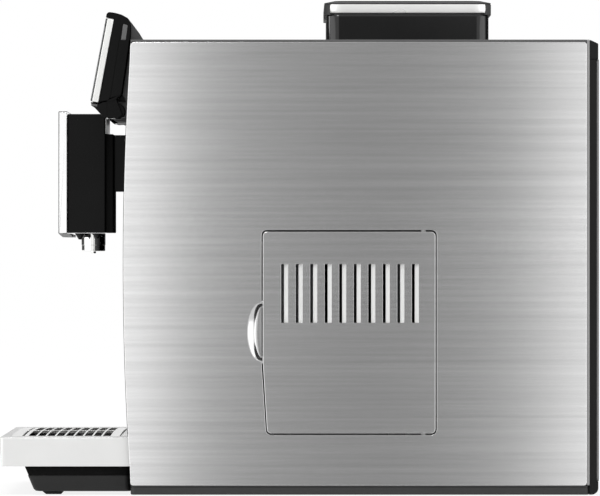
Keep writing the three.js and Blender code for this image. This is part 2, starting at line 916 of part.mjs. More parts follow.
// Front panel and the drawer front, both on the bowed face
function frontPanel() {
  const strip = alongX(bowedStrip([openingTop, mountBottom - fit]), [-wallOut, wallOut]);
  const reach = [-casingFront - casingBow * 2 - overrun, -casingFront + frontSkin * 2 + overrun];
  const drawer = block(
    [-drawerHalf - slide, drawerHalf + slide],
    reach,
    [openingTop - overrun, drawerTop + slide],
  );
  const neckSlot = block(
    [-neckHalf - slide, neckHalf + slide],
    reach,
    [neckBottom - spoutTravel - slide, neckTop + slide],
  );
  return cut(strip, drawer, neckSlot);
}

addPiece('front_panel', frontPanel(), blackGloss);

const drawerBottom = trayTop + fit;
addPiece(
  'drawer_front',
  alongX(bowedStrip([drawerBottom, drawerTop]), [-drawerHalf, drawerHalf]),
  bright,
);

// Top cover with openings for the console's wedge, the hopper and the tank lid, the last open to the rear
const coverFront = frontAt(casingTop);
const tankLidSpanX = [tankLeft - tankLidFlange, tankRight + tankLidFlange];
const tankLidSpanY = [tankFront - tankLidFlange, tankRear + tankLidFlange];
const grown = ([low, high], by) => [low - by, high + by];

function topCover() {
  const edge = half - coverInset;
  const plate = block([-edge, edge], [coverFront, casingRear], [coverBottom, coverTop]);
  const outer = [-wallIn + fit, wallIn - fit];
  const inner = grown(outer, -coverThickness);
  const skirtY = [-mountBack + fit, casingRear];
  const skirtZ = [casingTop - coverSkirt, coverBottom];
  const skirt = cut(
    block(outer, skirtY, skirtZ),
    block(inner, grown(skirtY, -coverThickness), grown(skirtZ, overrun)),
  );
  const through = [casingTop - coverSkirt - overrun, coverTop + overrun];
  const wedge = block(
    [-mountHalf - fit, mountHalf + fit],
    [coverFront - overrun, -mountBack + fit],
    [coverBottom - fit, coverTop + overrun],
  );
  const hopper = alongZ(
    roundedOutline(
      grown([-hopperHalf, hopperHalf], fit),
      grown([hopperFront, hopperRear], fit),
      hopperCorner + fit,
    ),
    through,
  );
  const tank = block(
    grown(tankLidSpanX, slide),
    [tankLidSpanY[0] - slide, casingRear + overrun],
    through,
  );
  return cut(join(plate, skirt), wedge, hopper, tank);
}

addPiece('top_cover', topCover(), darkGrey);

// Rear frame sheet and back panel, both with cut-outs for the inlet and the switch
const inletSpanX = [inletLeft, inletRight];
const inletSpanZ = [inletBottom, inletTop];
const switchSpanX = [inletLeft - switchWidth, inletLeft];
const moduleSpanX = [switchSpanX[0], inletRight];

const rearCut = (span) => block(grown(moduleSpanX, fit), span, grown(inletSpanZ, fit));

function rearFrame() {
  const edge = half - rearInset;
  const span = [rearFrameFront, rearFrameFront + rearSheet];
  const plate = block([-edge, edge], span, [casingBottom, coverTop]);
  return cut(plate, rearCut(grown(span, overrun)));
}

function airSlots(edge) {
  const through = [backRear - backWall - overrun, backRear + overrun];
  const slots = [];
  for (const [, sign] of sideNames) {
    const across = mirrored(sign, [airSlotInner, edge - airSlotMargin]);
    for (let row = 0; row < airSlotRows; row += 1) {
      const low = airSlotBottom + row * airSlotPitch;
      slots.push(block(across, through, [low, low + airSlotHeight]));
    }
  }
  return slots;
}

function backPanel() {
  const edge = half - rearInset;
  const top = coverTop;
  const profile = outline([
    [backFront, casingBottom],
    [backRear, casingBottom],
    [backRear, backShoulder],
    [backRear - backLean, backShoulder],
    [backRear - backLean, top - backChamfer],
    [backRear - backLean - backChamfer, top],
    [backFront, top],
  ]);
  const hollow = block(
    grown([-edge, edge], -backWall),
    [backFront - overrun, backRear - backWall],
    [casingBottom + backWall, top - backChamfer - backWall],
  );
  const shell = cut(alongX(profile, [-edge, edge]), hollow, ...airSlots(edge));
  return cut(shell, rearCut([backFront - overrun, backRear + overrun]));
}

addPiece('rear_frame', rearFrame(), galvanised);
addPiece('back_panel', backPanel(), blackMatt);

// Console mount: a wedge on the top cover, a web behind the console and two hinge lugs
function consoleMount() {
  const skin = alongX(bowedStrip([mountBottom, casingTop]), [-wallOut, wallOut]);
  const depth = outline([
    ...bowPoints(0, [mountBottom, casingTop]).reverse(),
    [-mountBack, mountBottom],
    [-mountBack, casingTop],
  ]);
  const body = alongX(depth, [-wallIn + fit, wallIn - fit]);
  const web = outline([
    [-mountBack, mountBottom],
    [mountFootY, mountBottom],
    [mountFootY, mountWebFoot],
    ...consoleOutline(mountShares),
    [-mountBack, coverTop],
  ]);
  const wedge = alongX(web, [-mountHalf, mountHalf]);
  const lugs = sideNames.map(([, sign]) =>
    block(
      mirrored(sign, [armOuter + slide, armOuter + slide + mountLugThickness]),
      [hingeY - mountLugReach, mountFootY + frontSkin],
      [mountBottom, mountLugTop],
    ),
  );
  const reach = armOuter + slide + mountLugThickness + overrun;
  const hole = bar([-reach, reach], hingeY, hingeZ, hingePinRadius + running);
  return cut(join(skin, body, wedge, ...lugs), hole);
}

addPiece('console_mount', consoleMount(), darkGrey);

for (const [side, sign] of sideNames) {
  const lugEnd = armOuter + slide + mountLugThickness;
  const shaft = bar(mirrored(sign, [armInner, lugEnd + fit]), hingeY, hingeZ, hingePinRadius);
  const head = bar(
    mirrored(sign, [lugEnd + fit, lugEnd + fit + hingeHeadThickness]),
    hingeY,
    hingeZ,
    hingeHeadRadius,
  );
  addPiece(`hinge_pin_${side}`, join(shaft, head), blackGloss);
}

// Console: a housing that holds the glass and the chrome frame by lips above and below them
const bezelFront = glassThickness + fit;
const bezelBack = bezelFront + bezelThickness;

function consoleHousing() {
  const profile = outline([
    ...consoleOutline(housingShares),
    onConsole(-fit, 0),
    onConsole(-fit, bezelBack + fit),
    onConsole(faceLength + fit, bezelBack + fit),
    onConsole(faceLength + fit, 0),
  ]);
  const edge = consoleHalf - housingInset;
  const body = alongX(profile, [-edge, edge]);
  const lobePoints = consoleOutline(lobeShares);
  const lobeReach = lobePoints[2][0] - fit;
  const ends = sideNames.flatMap(([, sign]) => {
    const lobe = alongX(outline(lobePoints), mirrored(sign, [armInner, edge]));
    const eye = bar(mirrored(sign, [armInner, armOuter]), hingeY, hingeZ, armRadius);
    const arm = block(
      mirrored(sign, [armInner, armOuter]),
      [lobeReach, hingeY],
      [hingeZ - armHalf, hingeZ + armHalf],
    );
    return [lobe, eye, arm];
  });
  const hole = bar([-edge, edge], hingeY, hingeZ, hingePinRadius + running);
  const frontFace = consoleBox(
    [-faceLength, faceLength + fit],
    [-bezelBack * 2, bezelBack + fit],
    [-consoleHalf - overrun, consoleHalf + overrun],
  );
  const upperFace = consoleBox(
    [-fit, faceLength + fit],
    [-bezelBack * 2, bezelBack + fit],
    [-consoleHalf - overrun, consoleHalf + overrun],
  );
  const lobes = join(ends[0], ...ends.slice(1));
  const trimmed = cut(lobes, hole);
  return join(cut(body, upperFace), cut(trimmed, upperFace.intersect(frontFace)));
}

addPiece('console_housing', consoleHousing(), blackGloss);

const glassSpan = [glassInset, faceLength - glassInset];
addPiece(
  'console_glass',
  consoleBox(glassSpan, [0, glassThickness], [-consoleHalf + glassInset, consoleHalf - glassInset]),
  glass,
);

function consoleBezel() {
  const frame = consoleBox([0, faceLength], [bezelFront, bezelBack], [-consoleHalf, consoleHalf]);
  const window = consoleBox(
    [bezelBorder, faceLength - bezelBorder],
    [bezelFront - overrun, bezelBack + overrun],
    [-consoleHalf + bezelEnd, consoleHalf - bezelEnd],
  );
  return cut(frame, window);
}

addPiece('console_bezel', consoleBezel(), chrome);

const displayEdge = bezelBorder + displayBorder;
addPiece(
  'console_display',
  consoleBox(
    [displayEdge, faceLength - displayEdge],
    [bezelBack - displayThickness, bezelBack],
    [-consoleHalf + bezelEnd + displayBorder, consoleHalf - bezelEnd - displayBorder],
  ),
  glass,
);

// Spout, sliding on two rods behind the front panel
function spoutHousing() {
  const front = -spoutFront + fit;
  const shell = block([-spoutHalf, spoutHalf], [front, -spoutRear], [spoutBottom, spoutTop]);
  const hollow = block(
    [-spoutHalf + spoutWall, spoutHalf - spoutWall],
    [front - overrun, -spoutRear - spoutWall],
    [spoutBottom + spoutWall, spoutTop - spoutWall],
  );
  const rear = block(
    [-spoutHalf + spoutWall, spoutHalf - spoutWall],
    [-spoutRear - spoutWall / 2, -spoutBackRear],
    [spoutBottom, spoutBackTop],
  );
  return join(cut(shell, hollow), rear);
}

function spoutFrontPlate() {
  const lipBottom = spoutBottom - plateLipDrop;
  const profile = outline([
    [-plateFront, plateTop],
    [-plateFront, lipBottom + plateChamfer],
    [-plateFront + plateChamfer, lipBottom],
    [-plateLipRear, lipBottom],
    [-plateLipRear, spoutBottom - fit],
    [-spoutFront, spoutBottom - fit],
    [-spoutFront, plateTop],
  ]);
  return alongX(profile, [-plateHalf, plateHalf]);
}

function spoutNeck() {
  const stem = block(
    [-neckHalf, neckHalf],
    [-spoutBackRear + fit, -carriageRear],
    [neckBottom, neckTop],
  );
  const carriage = block(
    [-carriageHalf, carriageHalf],
    [-carriageFront, -carriageRear],
    [neckBottom, neckTop],
  );
  const bores = sideNames.map(([, sign]) =>
    drum(
      sign * rodSpread,
      rodY,
      [neckBottom - overrun, neckTop + overrun],
      rodRadius + running,
      rodRadius + running,
      pinSides,
    ),
  );
  return cut(join(stem, carriage), ...bores);
}

function spoutRail() {
  const topSpan = [mountBottom - fit - railBar, mountBottom - fit];
  const bottomSpan = [
    neckBottom - spoutTravel - slide - railBar,
    neckBottom - spoutTravel - slide,
  ];
  const bars = [topSpan, bottomSpan].map((span) =>
    block([-railHalf, railHalf], [frontAt(span[1]) + frontSkin + fit, -railRear], span),
  );
  const rods = sideNames.map(([, sign]) =>
    drum(sign * rodSpread, rodY, [bottomSpan[0], topSpan[1]], rodRadius, rodRadius, pinSides),
  );
  return join(...bars, ...rods);
}

function centreSleeve() {
  const sleeve = drum(0, sleeveY, [sleeveBottom, spoutBottom - fit], sleeveRadius);
  const tip = drum(
    0,
    sleeveY,
    [sleeveTipBottom, sleeveBottom + overrun],
    sleeveTipRadius,
    sleeveTipRadius,
    pinSides,
  );
  return join(sleeve, tip);
}

function nozzle(x, y, bottom) {
  const cone = drum(x, y, [bottom, spoutBottom - fit], nozzleTipRadius, nozzleRadius, pinSides);
  const bore = drum(
    x,
    y,
    [bottom - overrun, bottom + nozzleBoreDepth],
    nozzleBore,
    nozzleBore,
    pinSides,
  );
  return cut(cone, bore);
}

// The coffee nozzles stand in a notch of the front plate's lip
addPiece('spout_housing', spoutHousing(), blackGloss);
addPiece('spout_front_plate', spoutFrontPlate(), bright);
addPiece('spout_neck', spoutNeck(), blackGloss);
addPiece('spout_rail', spoutRail(), galvanised);
addPiece('centre_sleeve', centreSleeve(), chrome);
for (const [side, sign] of sideNames) {
  const x = sign * nozzleSpread;
  addPiece(`coffee_nozzle_${side}`, nozzle(x, coffeeNozzleY, coffeeNozzleBottom), blackMatt);
  addPiece(`milk_nozzle_${side}`, nozzle(x, milkNozzleY, milkNozzleBottom), blackMatt);
}

// Drip tray drawer
function trayCover() {
  const outer = block([-trayHalf, trayHalf], [-trayFront, -trayRear], [trayBottom, trayTop]);
  const underside = [trayBottom - overrun, trayTop - trayWall];
  const hollow = block(
    [-trayHalf + trayWall, trayHalf - trayWall],
    [-trayFront + trayWall, -trayRear + overrun],
    underside,
  );
  const rebate = block(
    [-grilleHalf - slide, grilleHalf + slide],
    [-grilleFront - slide, -grilleRear + slide],
    [trayTop - grilleSheet - fit, trayTop + overrun],
  );
  const window = block(
    [-grilleHalf + grilleLedge, grilleHalf - grilleLedge],
    [-grilleFront + grilleLedge, -grilleRear - grilleLedge],
    [trayBottom, trayTop + overrun],
  );
  const drop = trayFrontCorner;
  const corner = alongX(
    outline([
      [-trayFront - overrun, trayBottom - overrun],
      [-trayFront + drop, trayBottom - overrun],
      [-trayFront + drop, trayBottom],
      [-trayFront, trayBottom + drop],
      [-trayFront - overrun, trayBottom + drop],
    ]),
    [-trayHalf - overrun, trayHalf + overrun],
  );
  return cut(outer, hollow, rebate, window, corner);
}

function dripGrille() {
  const lower = trayTop - grilleSheet;
  const crownPoints = (base) => {
    const points = [];
    for (let step = 0; step <= crownSteps; step += 1) {
      const share = (2 * step) / crownSteps - 1;
      points.push([grilleHalf * share, base + grilleCrown * (1 - share * share)]);
    }
    return points;
  };
  const spanY = [-grilleFront, -grilleRear];
  const arch = outline([...crownPoints(lower), ...crownPoints(trayTop).reverse()]);
  const flange = outline([...crownPoints(lower + grilleSheet / 2).reverse()].concat([
    [-grilleHalf, lower],
    [grilleHalf, lower],
  ]));
  const flanges = [
    [-grilleFront, -grilleFront + grilleSheet],
    [-grilleRear - grilleSheet, -grilleRear],
  ].map((span) => alongY(flange, span));
  const slots = [];
  for (let index = 0; index < grilleSlotCount; index += 1) {
    const y = grilleSlotFirst + index * grilleSlotPitch;
    for (const [, sign] of sideNames) {
      slots.push(
        block(
          mirrored(sign, [grilleSlotInner, grilleSlotOuter]),
          [y, y + grilleSlotWidth],
          [lower - overrun, trayTop + overrun],
        ),
      );
    }
  }
  return cut(join(alongY(arch, spanY), ...flanges), ...slots);
}

function basinProfile(inset, rise) {
  const foot = basinFootY + inset;
  const ground = basinGround + inset;
  return outline([
    [-basinFront + inset, trayBottom + rise],
    [foot - basinRound / 2, ground + basinRound],
    [foot, ground + basinRound / 3],
    [foot + basinRound, ground],
    [-basinDeepRear - inset, ground],
    [-basinDeepRear - inset, trayBottom + rise],
  ]);
}

// A deep part in front, a shallow part under the grounds container and a rim inside the cover
function trayBasin() {
  const tubTop = trayBottom + tubHeight;
  const rimSpanX = grown([-trayHalf, trayHalf], -trayWall - fit);
  const rimSpanY = [-trayFront + trayWall + fit, -trayRear - slide];
  const deep = alongX(basinProfile(0, basinWall), [-basinHalf, basinHalf]);
  const rim = block(rimSpanX, rimSpanY, [trayBottom, tubTop]);
  const shallow = block([basinLeft, basinRight], [-basinDeepRear - basinWall, basinRear], [
    trayFloor,
    trayBottom + basinWall,
  ]);
  const deepHollow = alongX(basinProfile(basinWall, basinWall + overrun), [
    -basinHalf + basinWall,
    basinHalf - basinWall,
  ]);
  const rimHollow = block(grown(rimSpanX, -basinWall), grown(rimSpanY, -basinWall), [
    trayBottom + basinWall,
    tubTop + overrun,
  ]);
  const channel = block(
    [basinLeft + basinWall, basinRight - basinWall],
    [-basinDeepRear - basinWall * 2, rimSpanY[1]],
    [trayFloor + basinWall, trayBottom + basinWall],
  );
  const bed = block(
    [basinLeft + basinWall, basinRight - basinWall],
    [rimSpanY[1] - basinWall, basinRear - basinWall],
    [trayFloor + basinWall, trayBottom],
  );
  const bedMouth = block(
    [basinLeft + basinWall, basinRight - basinWall],
    [rimSpanY[1], basinRear - basinWall],
    [trayBottom - overrun, trayBottom + overrun],
  );
  return cut(join(deep, rim, shallow), deepHollow, rimHollow, channel, bed, bedMouth);
}

addPiece('tray_cover', trayCover(), bright);
addPiece('drip_grille', dripGrille(), bright);
addPiece('tray_basin', trayBasin(), blackMatt);
addPiece(
  'tray_foot',
  alongX(
    outline([
      [trayFootFront, basinGround - fit],
      [trayFootFlatFront, 0],
      [trayFootFlatRear, 0],
      [trayFootRear, basinGround - fit],
    ]),
    [-trayFootHalf, trayFootHalf],
  ),
  rubber,
);

function groundsContainer() {
  const bottom = trayFloor + basinWall + fit;
  const spanX = [basinLeft + basinWall + slide, basinRight - basinWall - slide];
  const spanY = [groundsFront, basinRear - basinWall - slide];
  const outer = block(spanX, spanY, [bottom, bottom + groundsHeight]);
  const hollow = block(grown(spanX, -groundsWall), grown(spanY, -groundsWall), [
    bottom + groundsWall,
    bottom + groundsHeight + overrun,
  ]);
  return cut(outer, hollow);
}

addPiece('grounds_container', groundsContainer(), blackMatt);

// Hopper, lid and adjuster
const hopperSpanX = [-hopperHalf, hopperHalf];
const hopperSpanY = [hopperFront, hopperRear];

function hopperOutline(grow) {
  return roundedOutline(
    grown(hopperSpanX, grow),
    grown(hopperSpanY, grow),
    Math.max(hopperCorner + grow, hopperWall),
  );
}

function hopperBin() {
  const outer = alongZ(hopperOutline(0), [hopperFloor, hopperTop]);
  const hollow = alongZ(hopperOutline(-hopperWall), [hopperFloor + hopperWall, hopperTop + overrun]);
  const through = [hopperFloor - overrun, hopperFloor + hopperWall + overrun];
  const outlet = drum(0, grinderY, through, hopperOutletRadius);
  const spindle = drum(
    adjusterX,
    grinderY,
    through,
    adjusterSpindle + running,
    adjusterSpindle + running,
    pinSides,
  );
  return cut(outer, hollow, outlet, spindle);
}

function lidRim() {
  const ring = alongZ(hopperOutline(rimProud), [rimBottom, rimTop]);
  const hole = alongZ(hopperOutline(rimProud - rimWall), [rimBottom - overrun, rimTop + overrun]);
  return cut(ring, hole);
}

function hopperLid() {
  const plug = alongZ(hopperOutline(-hopperWall - slide), [lidPlugBottom, rimTop + fit * 2]);
  const spanX = grown(hopperSpanX, rimProud);
  const spanY = grown(hopperSpanY, rimProud);
  const bottom = rimTop + fit;
  const slope = (span, b0) =>
    outline([
      [span[0], b0],
      [span[1], b0],
      [span[1], b0 + lidEdge],
      [span[1] - lidChamferRun, lidTop],
      [span[0] + lidChamferRun, lidTop],
      [span[0], b0 + lidEdge],
    ]);
  const cap = alongX(slope(spanY, bottom), spanX).intersect(alongY(slope(spanX, bottom), spanY));
  const rounded = cap.intersect(alongZ(hopperOutline(rimProud), [bottom - overrun, lidTop + overrun]));
  const hollow = alongZ(hopperOutline(-hopperWall - slide - lidWall), [
    lidPlugBottom - overrun,
    lidTop - lidWall,
  ]);
  return cut(join(plug, rounded), hollow);
}

// The knob's spindle ends in a pinion that turns the upper burr's ring
function grindAdjuster() {
  const seat = hopperFloor + hopperWall + fit;
  const knob = drum(adjusterX, grinderY, [seat, seat + adjusterHeight], adjusterRadius);
  const grip = block(
    [adjusterX - adjusterGrip / 2, adjusterX + adjusterGrip / 2],
    [grinderY - adjusterRadius, grinderY + adjusterRadius],
    [seat + adjusterHeight - fit, seat + adjusterHeight + adjusterGripHeight],
  );
  const spindle = drum(
    adjusterX,
    grinderY,
    [upperBurrBottom, seat + fit],
    adjusterSpindle,
    adjusterSpindle,
    pinSides,
  );
  const pinion = drum(adjusterX, grinderY, upperBurrSpan, pinionRadius);
  return join(knob, grip, spindle, pinion);
}

addPiece('hopper_bin', hopperBin(), blackGloss);
addPiece('lid_rim', lidRim(), chrome);
addPiece('hopper_lid', hopperLid(), darkGrey);
addPiece('grind_adjuster', grindAdjuster(), blackMatt);

// Grinder
function grinderHousing() {
  const outer = drum(0, grinderY, [grinderBottom, grinderTop], grinderRadius);
  const inner = drum(
    0,
    grinderY,
    [grinderBottom + grinderFloor, grinderTop + overrun],
    grinderRadius - grinderWall,
  );
  const shaftHole = drum(
    0,
    grinderY,
    [grinderBottom - overrun, grinderTop],
    burrShaftRadius + running,
    burrShaftRadius + running,
    pinSides,
  );
  const mouth = block(
    [0, grinderRadius + overrun],
    [grinderY - chuteHalf, grinderY + chuteHalf],
    [chuteMouthBottom + chuteWall, chuteMouthTop - chuteWall],
  );
  const pinionNotch = drum(
    adjusterX,
    grinderY,
    [upperBurrBottom - slide, grinderTop + overrun],
    pinionRadius + slide,
  );
  return cut(outer, inner, shaftHole, mouth, pinionNotch);
}

function grinderMotor() {
  const body = drum(0, grinderY, [deckTop + fit, motorTop], motorRadius);
  const socket = drum(
    0,
    grinderY,
    [motorTop - motorSocket, motorTop + overrun],
    burrShaftRadius + running,
    burrShaftRadius + running,
    pinSides,
  );
  return cut(body, socket);
}

function lowerBurr() {
  const disc = drum(0, grinderY, [lowerBurrBottom, lowerBurrTop], burrRadius, burrRadius - burrGap);
  const shaft = drum(
    0,
    grinderY,
    [motorTop - motorSocket + slide, lowerBurrBottom + fit],
    burrShaftRadius,
    burrShaftRadius,
    pinSides,
  );
  return join(disc, shaft);
}

function upperBurr() {
  const ring = drum(0, grinderY, upperBurrSpan, upperBurrRadius);
  const bore = drum(0, grinderY, grown(upperBurrSpan, overrun), upperBurrBore);
  return cut(ring, bore);
}

function coffeeChute() {
  const left = grinderRadius + fit;
  const floor = deckHeight - deckSheet;
  const right = chuteX + chuteHalf + chuteWall;
  const outerPoints = [
    [left, chuteMouthBottom],
    [chuteX - chuteHalf - chuteWall, deckTop + chuteFall],
    [chuteX - chuteHalf - chuteWall, floor],
    [right, floor],
    [right, deckTop + chuteFall + chuteWall],
    [left, chuteMouthTop],
  ];
  const innerPoints = [
    [left - overrun, chuteMouthBottom + chuteWall],
    [left, chuteMouthBottom + chuteWall],
    [chuteX - chuteHalf, deckTop + chuteFall + chuteWall],
    [chuteX - chuteHalf, floor - overrun],
    [right - chuteWall, floor - overrun],
    [right - chuteWall, deckTop + chuteFall],
    [left, chuteMouthTop - chuteWall],
    [left - overrun, chuteMouthTop - chuteWall],
  ];
  const halfWidth = chuteHalf + chuteWall;
  const outer = alongY(outline(outerPoints), [grinderY - halfWidth, grinderY + halfWidth]);
  const inner = alongY(outline(innerPoints), [grinderY - chuteHalf, grinderY + chuteHalf]);
  return cut(outer, inner);
}

addPiece('grinder_housing', grinderHousing(), castAlloy);
addPiece('grinder_motor', grinderMotor(), galvanised);
addPiece('lower_burr', lowerBurr(), hardSteel);
addPiece('upper_burr', upperBurr(), hardSteel);
addPiece('coffee_chute', coffeeChute(), blackMatt);

// Brew unit
function brewFrame() {
  const spanX = [brewFrameLeft, brewFrameRight];
  const sides = [
    [brewFrameFront, brewFrameFront + brewFrameSheet],
    [brewFrameRear - brewFrameSheet, brewFrameRear],
  ].map((spanY) => block(spanX, spanY, [casingBottom, brewFrameTop]));
  const web = block(
    [brewFrameLeft, brewFrameLeft + brewFrameSheet],
    [brewFrameFront, brewFrameRear],
    [brewWebBottom, brewFrameTop],
  );
  return join(...sides, web);
}

function brewCylinder() {
  const tube = drum(brewX, brewY, [brewBottom, brewTop], brewOuterRadius);
  const flange = block(
    [brewFrameLeft + brewFrameSheet + fit, brewX],
    [brewY - brewFlangeHalf, brewY + brewFlangeHalf],
    [brewBottom + brewFlange, brewTop - brewFlange],
  );
  const bore = drum(brewX, brewY, [brewBottom - overrun, brewTop + overrun], brewBoreRadius);
  return cut(join(tube, flange), bore);
}

function brewPiston() {
  const head = drum(
    brewX,
    brewY,
    [pistonBottom, pistonBottom + pistonHeight],
    brewBoreRadius - running,
  );
  const rod = drum(
    brewX,
    brewY,
    [driveTop - driveSocket + slide, pistonBottom + fit],
    rodBrewRadius,
    rodBrewRadius,
    pinSides,
  );
  return join(head, rod);
}

function brewDrive() {
  const box = block(
    [brewX - driveHalf, brewX + driveHalf],
    [brewY - driveHalf, brewY + driveHalf],
    [casingBottom, driveTop],
  );
  const socket = drum(
    brewX,
    brewY,
    [driveTop - driveSocket, driveTop + overrun],
    rodBrewRadius + running,
    rodBrewRadius + running,
    pinSides,
  );
  return cut(box, socket);
}

addPiece('brew_frame', brewFrame(), galvanised);
addPiece('brew_cylinder', brewCylinder(), blackMatt);
addPiece('brew_piston', brewPiston(), blackMatt);
addPiece('brew_drive', brewDrive(), blackMatt);

// Water tank, its lid and its seat
const tankSpanX = [tankLeft, tankRight];
const tankSpanY = [tankFront, tankRear];
const tankLidBottom = coverTop - tankLidThickness;
const tankTop = tankLidBottom - fit;
const tankMiddleX = (tankLeft + tankRight) / 2;
const tankMiddleY = (tankFront + tankRear) / 2;

function waterTank() {
  const outer = block(tankSpanX, tankSpanY, [tankBottom, tankTop]);
  const hollow = block(grown(tankSpanX, -tankWall), grown(tankSpanY, -tankWall), [
    tankBottom + tankWall,
    tankTop + overrun,
  ]);
  const spigot = drum(
    tankMiddleX,
    tankMiddleY,
    [tankBottom - tankSpigotDrop, tankBottom + fit],
    tankSpigotRadius,
    tankSpigotRadius,
    pinSides,
  );
  const bore = drum(
    tankMiddleX,
    tankMiddleY,
    [tankBottom - tankSpigotDrop - overrun, tankBottom + tankWall + overrun],
    tankSpigotBore,
    tankSpigotBore,
    pinSides,
  );
  return cut(join(cut(outer, hollow), spigot), bore);
}

function tankLid() {
  const plate = block(tankLidSpanX, tankLidSpanY, [tankLidBottom, coverTop]);
  const lip = block(
    grown(tankSpanX, -tankWall - slide),
    [tankFront + tankWall + slide * 2, tankRear - tankWall - tankLidLip * 2],
    [tankTop - tankLidLip, tankLidBottom + fit],
  );
  return join(plate, lip);
}

function tankSeat() {
  const spanX = grown(tankSpanX, -tankSeatInset);
  const spanY = grown(tankSpanY, -tankSeatInset);
  const outer = block(spanX, spanY, [casingBottom, tankBottom - fit]);
  const hollow = block(grown(spanX, -tankSeatWall), grown(spanY, -tankSeatWall), [
    casingBottom - overrun,
    tankBottom - fit - tankSeatWall,
  ]);
  const hole = drum(
    tankMiddleX,
    tankMiddleY,
    [tankBottom - tankSpigotDrop - overrun, tankBottom + overrun],
    tankSpigotRadius + slide,
    tankSpigotRadius + slide,
    pinSides,
  );
  return cut(outer, hollow, hole);
}

addPiece('water_tank', waterTank(), clear);
addPiece('tank_lid', tankLid(), darkGrey);
addPiece('tank_seat', tankSeat(), blackMatt);

// Heater block on the left wall and the pump on the base
function heaterBlock() {
  const left = -wallIn + fit;
  const body = block([left, left + heaterDepth], [heaterFront, heaterRear], [heaterBottom, heaterTop]);
  const middleY = (heaterFront + heaterRear) / 2;
  const stubs = [
    [heaterBottom - heaterStubReach, heaterBottom + heaterStub],
    [heaterTop - heaterStub, heaterTop + heaterStubReach],
  ].map((span) => drum(left + heaterDepth / 2, middleY, span, heaterStub));
  return join(body, ...stubs);
}

function pump() {
  const body = rodAlongY(pumpX, [pumpFront, pumpRear], pumpZ, pumpRadius, drumSides);
  const nose = rodAlongY(pumpX, [pumpRear - fit, pumpRear + pumpNose], pumpZ, pumpNoseRadius);
  const saddle = block(
    [pumpX - pumpSaddleHalf, pumpX + pumpSaddleHalf],
    [pumpFront + pumpNose, pumpRear - pumpNose],
    [casingBottom, pumpZ],
  );
  return join(body, nose, saddle);
}

addPiece('heater_block', heaterBlock(), castAlloy);
addPiece('pump', pump(), galvanised);

// Control board on the deck
function controlBoard() {
  const bottom = deckTop + fit;
  const plate = block([boardLeft, boardRight], [boardFront, boardRear], [
    bottom + boardLeg,
    bottom + boardLeg + boardSheet,
  ]);
  const legs = [boardLeft + boardLegInset, boardRight - boardLegInset].flatMap((x) =>
    [boardFront + boardLegInset, boardRear - boardLegInset].map((y) =>
      drum(x, y, [bottom, bottom + boardLeg + boardSheet / 2], boardLegRadius, boardLegRadius, pinSides),
    ),
  );
  const partBottom = bottom + boardLeg + boardSheet / 2;
  const parts = [boardFront + boardPartSize, boardRear - boardPartSize * 2].map((y) =>
    block([boardLeft + boardPartSize / 2, boardLeft + boardPartSize * 2], [y, y + boardPartSize], [
      partBottom,
      partBottom + boardPartHeight,
    ]),
  );
  return join(plate, ...legs, ...parts);
}

addPiece('control_board', controlBoard(), board);

// Mains module: an inlet socket with three pins, and a well for the switch
function mainsInlet() {
  const front = backRear - inletProudBack;
  const outer = block(moduleSpanX, [front - inletDepth, front], inletSpanZ);
  const floor = front - inletHollow;
  const hollow = block(
    grown(inletSpanX, -inletWall),
    [floor, front + overrun],
    grown(inletSpanZ, -inletWall),
  );
  const middleX = (inletLeft + inletRight) / 2;
  const middleZ = (inletBottom + inletTop) / 2;
  const pins = [-1, 0, 1].map((place) => {
    const x = middleX + place * inletPinSpread;
    const z = middleZ + (place ? -inletPinOffset : inletPinOffset);
    return block([x - inletPin / 2, x + inletPin / 2], [floor - fit, floor + inletPinLength], [
      z - inletPin,
      z + inletPin,
    ]);
  });
  const well = block(grown(switchSpanX, -switchWall), [front - switchHollow, front + overrun], [
    inletBottom + switchWall,
    inletTop - switchWall,
  ]);
  return join(cut(outer, hollow, well), ...pins);
}

// Rocker of the switch, at rest on its lower half
const rockerX = grown(switchSpanX, -switchWall - slide);
const rockerMiddleZ = (inletBottom + inletTop) / 2;
const rockerPivotY = backRear - inletProudBack - rockerDepth;

function powerSwitch() {
  const reach = (inletTop - inletBottom) / 2 - switchWall - slide - running;
  const shallow = reach * Math.tan(rockerTilt);
  const profile = outline([
    [-rockerDepth / 2, -reach / 2],
    [0, -reach],
    [rockerDepth - rockerProud, -reach],
    [rockerDepth - rockerProud - shallow, 0],
    [rockerDepth - rockerProud, reach],
    [0, reach],
    [-rockerDepth / 2, reach / 2],
  ]);
  const geometry = new THREE.ExtrudeGeometry(profile, {
    depth: rockerX[1] - rockerX[0],
    bevelEnabled: false,
  });
  geometry.applyMatrix4(new THREE.Matrix4().makeBasis(unitY, unitZ, unitX));
  geometry.rotateX(rockerTilt);
  geometry.translate(rockerX[0], rockerPivotY, rockerMiddleZ);
  return solid(geometry);
}

addPiece('mains_inlet', mainsInlet(), blackMatt);
addPiece('power_switch', powerSwitch(), blackGloss);

export default group;
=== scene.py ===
"""Bean to cup coffee machine: the visible pieces, their finishes, the light and the camera."""

import json

import bmesh
import bpy
import numpy as np
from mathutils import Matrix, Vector
from mathutils.geometry import tessellate_polygon

